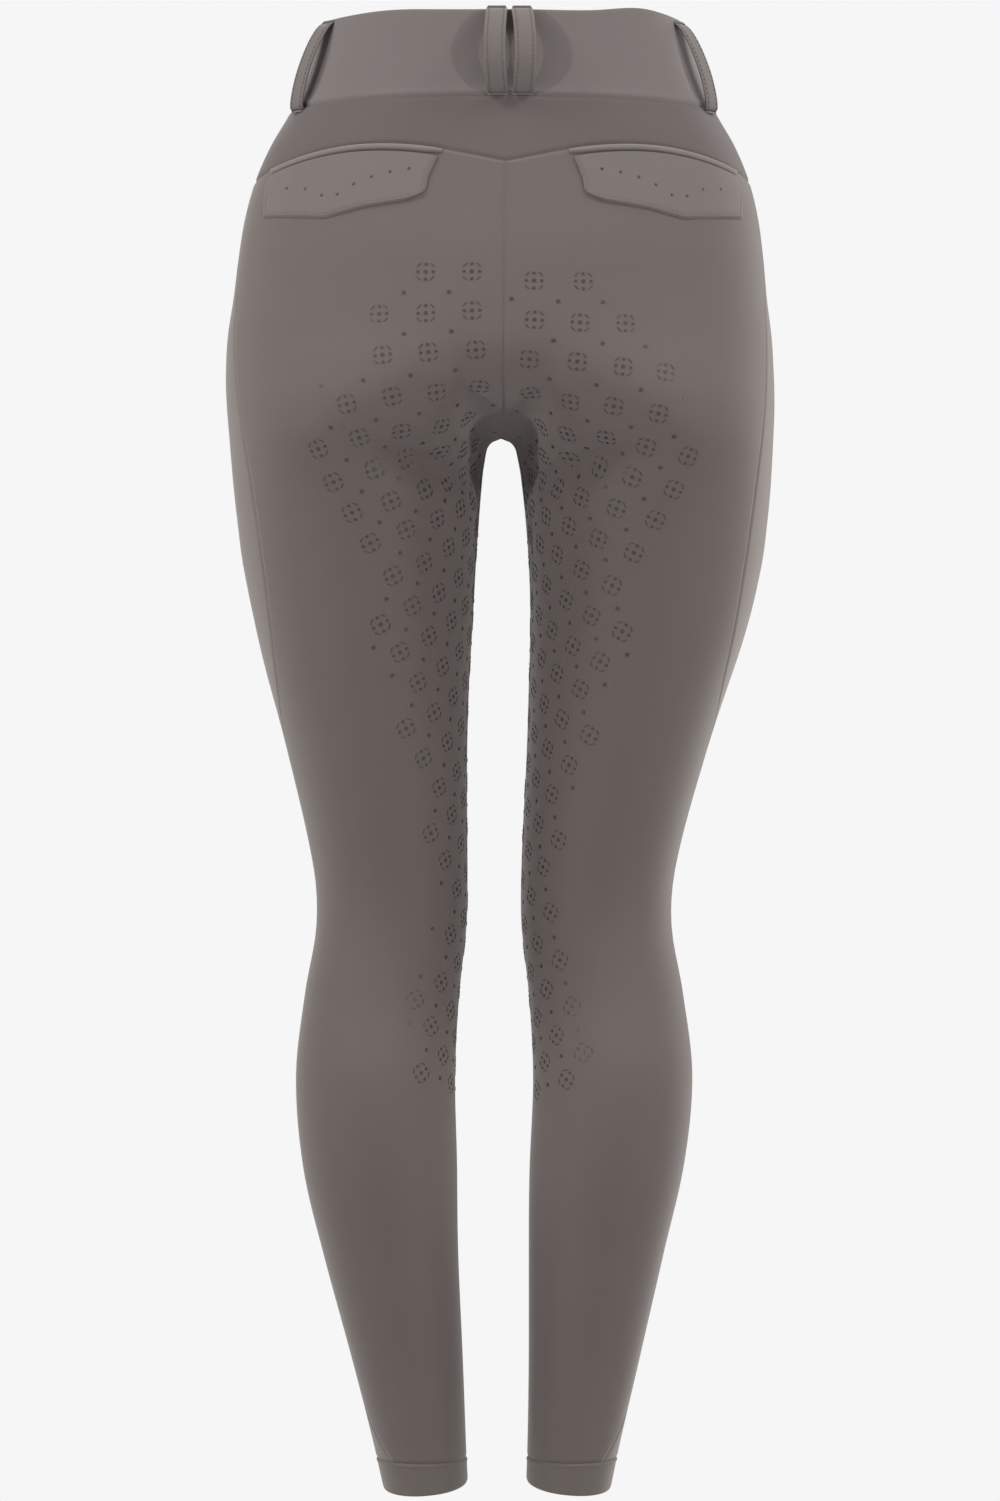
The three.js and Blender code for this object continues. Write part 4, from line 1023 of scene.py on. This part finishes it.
for name, side in (("left", 1), ("right", -1)):
    sewing = mesh_object(f"flap_stitches_{name}", points, faces, flap_thread_painted_shade, side=side, flat=True)
    studs = mesh_object(f"flap_studs_{name}", stud_points.reshape(-1, 3), stud_faces, stud_material,
                        side=side)
    for piece in (sewing, studs):
        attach(piece, "root")

# Belt loops: folded strips, sewn down at both ends with bartacks, that bow off the waistband.
# Two stand side by side at centre back, one at each side and one at each front.
LOOP_WIDTH, LOOP_THICK, LOOP_FLAT, LOOP_FULLNESS = 14, 1.7, 0.03, 0.55
LOOP_ROWS, LOOP_COLUMNS, LOOP_LENGTH = 60, 15, 60
LOOP_EDGE = dict(depth=0.5, width=0.7, under_depth=0.25, under_width=0.5)
LOOP_GROOVE = dict(in_from_edge=2.2, depth=0.25, width=0.45)
LOOP_TIP = dict(narrow=0.16, length=1.4)
# Where a side loop and a front loop stand, back from the middle of the side and out from the centre
SIDE_LOOP_Y, FRONT_LOOP_X = 36, 55
BARTACK = dict(stitches=19, half_width=0.40, length=2.4, width=0.7, height=0.35)
BARTACK_AT = (3, -4)
LOOPS = [
    # node, side, place on the body, top, lower end, bow, shift and lean along the waistband
    ("loop_back_left", 1, "back", 2, -57, 14, 5.6, 2.0),
    ("loop_back_right", 1, "back", 2, -57, 14, -10.6, -2.0),
    ("loop_side_left", 1, "side", -0.3, -61, 8.9, 0, 0),
    ("loop_side_right", -1, "side", -0.3, -61, 8.9, 0, 0),
    ("loop_front_left", 1, "front", 1, -57, 11, 0, 0),
    ("loop_front_right", -1, "front", 1, -57, 11, 0, 0),
]
LOOP_TURN = 0.16
loop_knit = knit("loop knit", (0.168, 0.145, 0.137), sheen=0.3)
loop_thread = thread("loop thread", (0.085, 0.074, 0.069))


def loop_base(place, z):
    """Where a loop's middle line lies on the waistband at height z, and the level way out."""
    at = np.minimum(z, 0)
    if place == "back":
        start, way = xyz(0, 0, at), np.array([0.0, 1, 0])
    elif place == "side":
        start, way = xyz(0, SIDE_LOOP_Y, at), np.array([1.0, 0, 0])
    else:
        start, way = xyz(FRONT_LOOP_X, 0, at), np.array([0.0, -1, 0])
    p = start + way * exit_distance(start, way)[..., None]
    n = slope(p[:1])[0]
    n[2] = 0
    if place == "back":
        n = np.array([0.0, 1, 0])
    if place == "side":
        n += LOOP_TURN * np.array([-n[1], n[0], 0])
    p[..., 2] = z
    return p, unit(n)


def facing_out(way, across, out):
    """Way out of a loop's face where it runs along way: square to way and across, outward."""
    normal = np.cross(way, across)
    return unit(normal * np.sign(normal @ out)[:, None])


t = crowded(LOOP_ROWS, pull=0.5)
w = lerp(-1, 1, crowded(LOOP_COLUMNS, pull=0.85))[None, :, None]
for node, side, place, head, end, bow, shift, spread_out in LOOPS:
    z = lerp(head, end, t)
    base, out = loop_base(place, z)
    across = np.array([-out[1], out[0], 0])
    curve = np.clip((t - LOOP_FLAT) / (1 - 2 * LOOP_FLAT), 0, 1)
    stand = LAYER_GAP + bow * np.sin(math.pi * curve) ** LOOP_FULLNESS
    aside = -(shift + spread_out * np.sin(math.pi * t))
    tip = np.minimum(t, 1 - t) * BAND_HEIGHT
    half = LOOP_WIDTH / 2 * (1 - LOOP_TIP["narrow"] * bell(tip, LOOP_TIP["length"]))
    row_at = base[:, None] + across * (aside[:, None, None] + w * half[:, None, None])
    edge = LOOP_WIDTH / 2 * (1 - np.abs(w[..., 0]))
    crown = LOOP_THICK - LOOP_EDGE["depth"] * bell(edge, LOOP_EDGE["width"])
    crown -= LOOP_GROOVE["depth"] * bell(edge - LOOP_GROOVE["in_from_edge"], LOOP_GROOVE["width"])
    under = LOOP_EDGE["under_depth"] * bell(edge, LOOP_EDGE["under_width"])
    outer = row_at + out * (stand[:, None] + crown)[..., None]
    inner = row_at + out * (stand[:, None] + under)[..., None]
    chart = np.stack(np.broadcast_arrays(w[..., 0] * LOOP_WIDTH / 2, LOOP_LENGTH * t[:, None]), -1)
    name = node.replace("loop_", "belt_loop_")
    piece = shell_object(name, outer, inner, loop_knit, chart, side)
    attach(piece, "root")
    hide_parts(node)
    # edge stitches in the two grooves, and a bartack across each end
    seams = []
    groove_at = LOOP_WIDTH / 2 - LOOP_GROOVE["in_from_edge"]
    thread_at = (stand + LOOP_THICK - THREAD_SINK)[:, None]
    for w_at in (-groove_at, groove_at):
        line = base + across * (aside + w_at)[:, None] + out * thread_at
        seams.append(stitched(line, lambda at, way: facing_out(way, across, out)))
    for k in BARTACK_AT:
        w_at = np.linspace(-1, 1, BARTACK["stitches"]) * BARTACK["half_width"] * LOOP_WIDTH
        at = base[k] + across * (aside[k] + w_at)[:, None] + out * (stand[k] + LOOP_THICK)
        down_way = unit(base[k + 1] - base[k - 1] + out * (stand[k + 1] - stand[k - 1]))
        way = np.broadcast_to(down_way, at.shape)
        seams.append(stitch_solids(at, way, facing_out(way, across, out), BARTACK["length"],
                                   BARTACK["width"], BARTACK["height"]))
    points, faces = joined(seams)
    sewing = mesh_object(f"{name}_stitches", points, faces, loop_thread, side=side, flat=True)
    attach(sewing, "root")

# Closing: a flat, dished button of dark metal on the overlapped ends of the waistband. Its shank
# goes through a stitched buttonhole.
BUTTON = dict(radius=8.5, thick=3.0, z=-28, sides=48)
BUTTONHOLE = dict(half_length=11.5, half_height=2.0, pitch=0.75, length=2.2, width=0.6, height=0.35)
BUTTON_PROFILE = [(0, 0), (0.55, 0), (0.93, 0.3), (1, 0.48), (0.99, 0.72), (0.92, 0.93), (0.82, 1.0),
                  (0.72, 0.96), (0.66, 0.8), (0.55, 0.77), (0.2, 0.77), (0, 0.77)]
button_metal, shader = glossy("button metal", (0.16, 0.145, 0.135), 500, 0.28, 0.45)
shader.inputs["Metallic"].default_value = 0.85
seat, out = seen_from(-1, np.array([[0.0, BUTTON["z"]]]), LAYER_GAP)
across = unit(np.cross(out, np.array([0, 0, 1.0])))
up = np.cross(across, out)
sides = BUTTON["sides"]
turn = full_turn(sides)
ring_way = across * np.cos(turn)[:, None] + up * np.sin(turn)[:, None]
points = np.concatenate([
    seat + ring_way * BUTTON["radius"] * max(wide, 0.01) + out * BUTTON["thick"] * high
    for wide, high in BUTTON_PROFILE
])
rings = len(BUTTON_PROFILE)
caps = np.stack([np.arange(sides)[::-1], (rings - 1) * sides + np.arange(sides)])
button = mesh_object("button", points, [grid_faces(rings, sides, ring=True), caps], button_metal)
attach(button, "root")
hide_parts("waistband_button")
hole_turn = np.linspace(0, 2 * math.pi, 121)
hole = np.stack([BUTTONHOLE["half_length"] * np.cos(hole_turn),
                 BUTTON["z"] + BUTTONHOLE["half_height"] * np.sin(hole_turn)], -1)
p, _ = seen_from(-1, hole, 0)
at, way = evened(p, BUTTONHOLE["pitch"])
out = unit(slope(at))
points, faces = stitch_solids(at, np.cross(out, way), out, BUTTONHOLE["length"], BUTTONHOLE["width"],
                              BUTTONHOLE["height"])
band_thread = thread("band thread", (0.12, 0.104, 0.096))
buttonhole = mesh_object("buttonhole_stitches", points, faces, band_thread, flat=True)
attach(buttonhole, "root")

# Hem bands: a narrow band of ribbed stretch knit sewn round each ankle, with a raised seam along
# its top and a folded edge that lies a little lower behind and outside.
hem_knit = knit("hem knit", (0.145, 0.124, 0.115), sheen=0.4, rib=1.1, depth=0.09)
HEM_LEVELS, HEM_COLUMNS = 26, 160
HEM_EDGE_Z, HEM_MIDDLE, HEM_DROP = -973, (48, -8), (0.07, 0.1)
# The raised seam under the top, and how far the top and the lower edge turn in
HEM_SEAM = dict(below_top=1.5, width=0.8, height=0.45)
HEM_TOP_TURN, HEM_EDGE_TURN = (0.5, 0.6), (0.5, 0.7)
angle = np.linspace(0, 2 * math.pi, HEM_COLUMNS, endpoint=False)[None]
start = ring_point(angle, np.full(angle.shape, float(HEM_SEAM_Z)))
from_middle = start[..., :2] - np.array(HEM_MIDDLE)
foot = HEM_EDGE_Z - from_middle @ np.array(HEM_DROP)
v = crowded(HEM_LEVELS, pull=0.6)[:, None]
ankle = ring_point(angle, lerp(HEM_SEAM_Z - HALF_GAP, foot, v))
normal = unit(slope(ankle))
down = arcs(ankle, 0)
s = np.broadcast_to(arcs(ankle, 1)[:1], down.shape)
lift = HEM_SEAM["height"] * bell(down - HEM_SEAM["below_top"], HEM_SEAM["width"])
for (depth, width), distance in ((HEM_TOP_TURN, down), (HEM_EDGE_TURN, down[-1:] - down)):
    lift -= depth * bell(distance, width)
for name, side in (("left", 1), ("right", -1)):
    piece = shell_object(f"hem_band_{name}", ankle + normal * lift[..., None], ankle - normal * CLOTH,
                         hem_knit, np.stack([s, down], -1), side, ring=True)
    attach(piece, "root")
    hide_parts(f"hem_{name}")

# Floor and light: a wide pale floor under a pale even sky. Two softboxes stand high at the sides,
# so that the seat is brighter than the calves, and two small spots behind the wearer draw the
# shade of the loops. A softbox and a rim light stand on the front side.
BACKDROP, SKY_LIGHT = 0.922, 0.29
FLOOR_Z, FLOOR_HALF, FLOOR_GREY = -1.06, 30.0, 0.5


def two_faced(tree, lighting, seen, end):
    """The camera sees one shader and the light of the scene meets the other."""
    nodes, links = tree.nodes, tree.links
    path, mix = nodes.new("ShaderNodeLightPath"), nodes.new("ShaderNodeMixShader")
    links.new(path.outputs["Is Camera Ray"], mix.inputs[0])
    links.new(lighting.outputs[0], mix.inputs[1])
    links.new(seen.outputs[0], mix.inputs[2])
    links.new(mix.outputs["Shader"], nodes[end].inputs["Surface"])


world = bpy.data.worlds.new("pale sky")
world.use_nodes = True
seen_sky = world.node_tree.nodes["Background"]
seen_sky.inputs["Color"].default_value = (BACKDROP, BACKDROP, BACKDROP, 1)
soft_sky = world.node_tree.nodes.new("ShaderNodeBackground")
soft_sky.inputs["Color"].default_value = (SKY_LIGHT, SKY_LIGHT, SKY_LIGHT, 1)
two_faced(world.node_tree, soft_sky, seen_sky, "World Output")
bpy.context.scene.world = world
bpy.context.scene.view_settings.view_transform = "Standard"

floor_finish, nodes, _, shader, _ = new_finish("pale floor")
shader.inputs["Base Color"].default_value = (FLOOR_GREY, FLOOR_GREY, FLOOR_GREY, 1)
shader.inputs["Roughness"].default_value = 1.0
shader.inputs["Specular IOR Level"].default_value = 0.0
glow = nodes.new("ShaderNodeEmission")
glow.inputs["Color"].default_value = (BACKDROP, BACKDROP, BACKDROP, 1)
two_faced(floor_finish.node_tree, shader, glow, "Material Output")
floor_mesh = bpy.data.meshes.new("floor")
corners = [(x * FLOOR_HALF, y * FLOOR_HALF, FLOOR_Z) for x, y in ((-1, -1), (1, -1), (1, 1), (-1, 1))]
floor_mesh.from_pydata(corners, [], [(0, 1, 2, 3)])
floor_mesh.materials.append(floor_finish)
floor = bpy.data.objects.new("floor", floor_mesh)
bpy.context.collection.objects.link(floor)
floor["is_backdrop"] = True

LIGHTS = [
    # name, place, aim, size, watts
    ("left softbox", (1.8, 0.5, 1.6), (0, 0.05, -0.3), 0.8, 37),
    ("right softbox", (-1.8, 0.5, 1.6), (0, 0.05, -0.3), 0.8, 37),
    ("left spot", (1.8, 1.6, 0.15), (0, 0.1, -0.15), 0.09, 20),
    ("right spot", (-1.75, 1.65, 0.1), (0, 0.1, -0.25), 0.09, 17),
    ("front softbox", (0.5, -2.6, 1.2), (0, 0, -0.45), 1.4, 40),
    ("right rim", (-1.5, -1.3, 0.3), (0, 0, -0.4), 0.6, 15),
]
for name, place, aim, size, watts in LIGHTS:
    data = bpy.data.lights.new(name, "AREA")
    data.shape = "SQUARE"
    data.size = size
    data.energy = watts
    lamp = bpy.data.objects.new(name, data)
    lamp.location = place
    lamp.rotation_mode = "QUATERNION"
    lamp.rotation_quaternion = (Vector(aim) - Vector(place)).to_track_quat("-Z", "Y")
    bpy.context.collection.objects.link(lamp)

low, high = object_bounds()
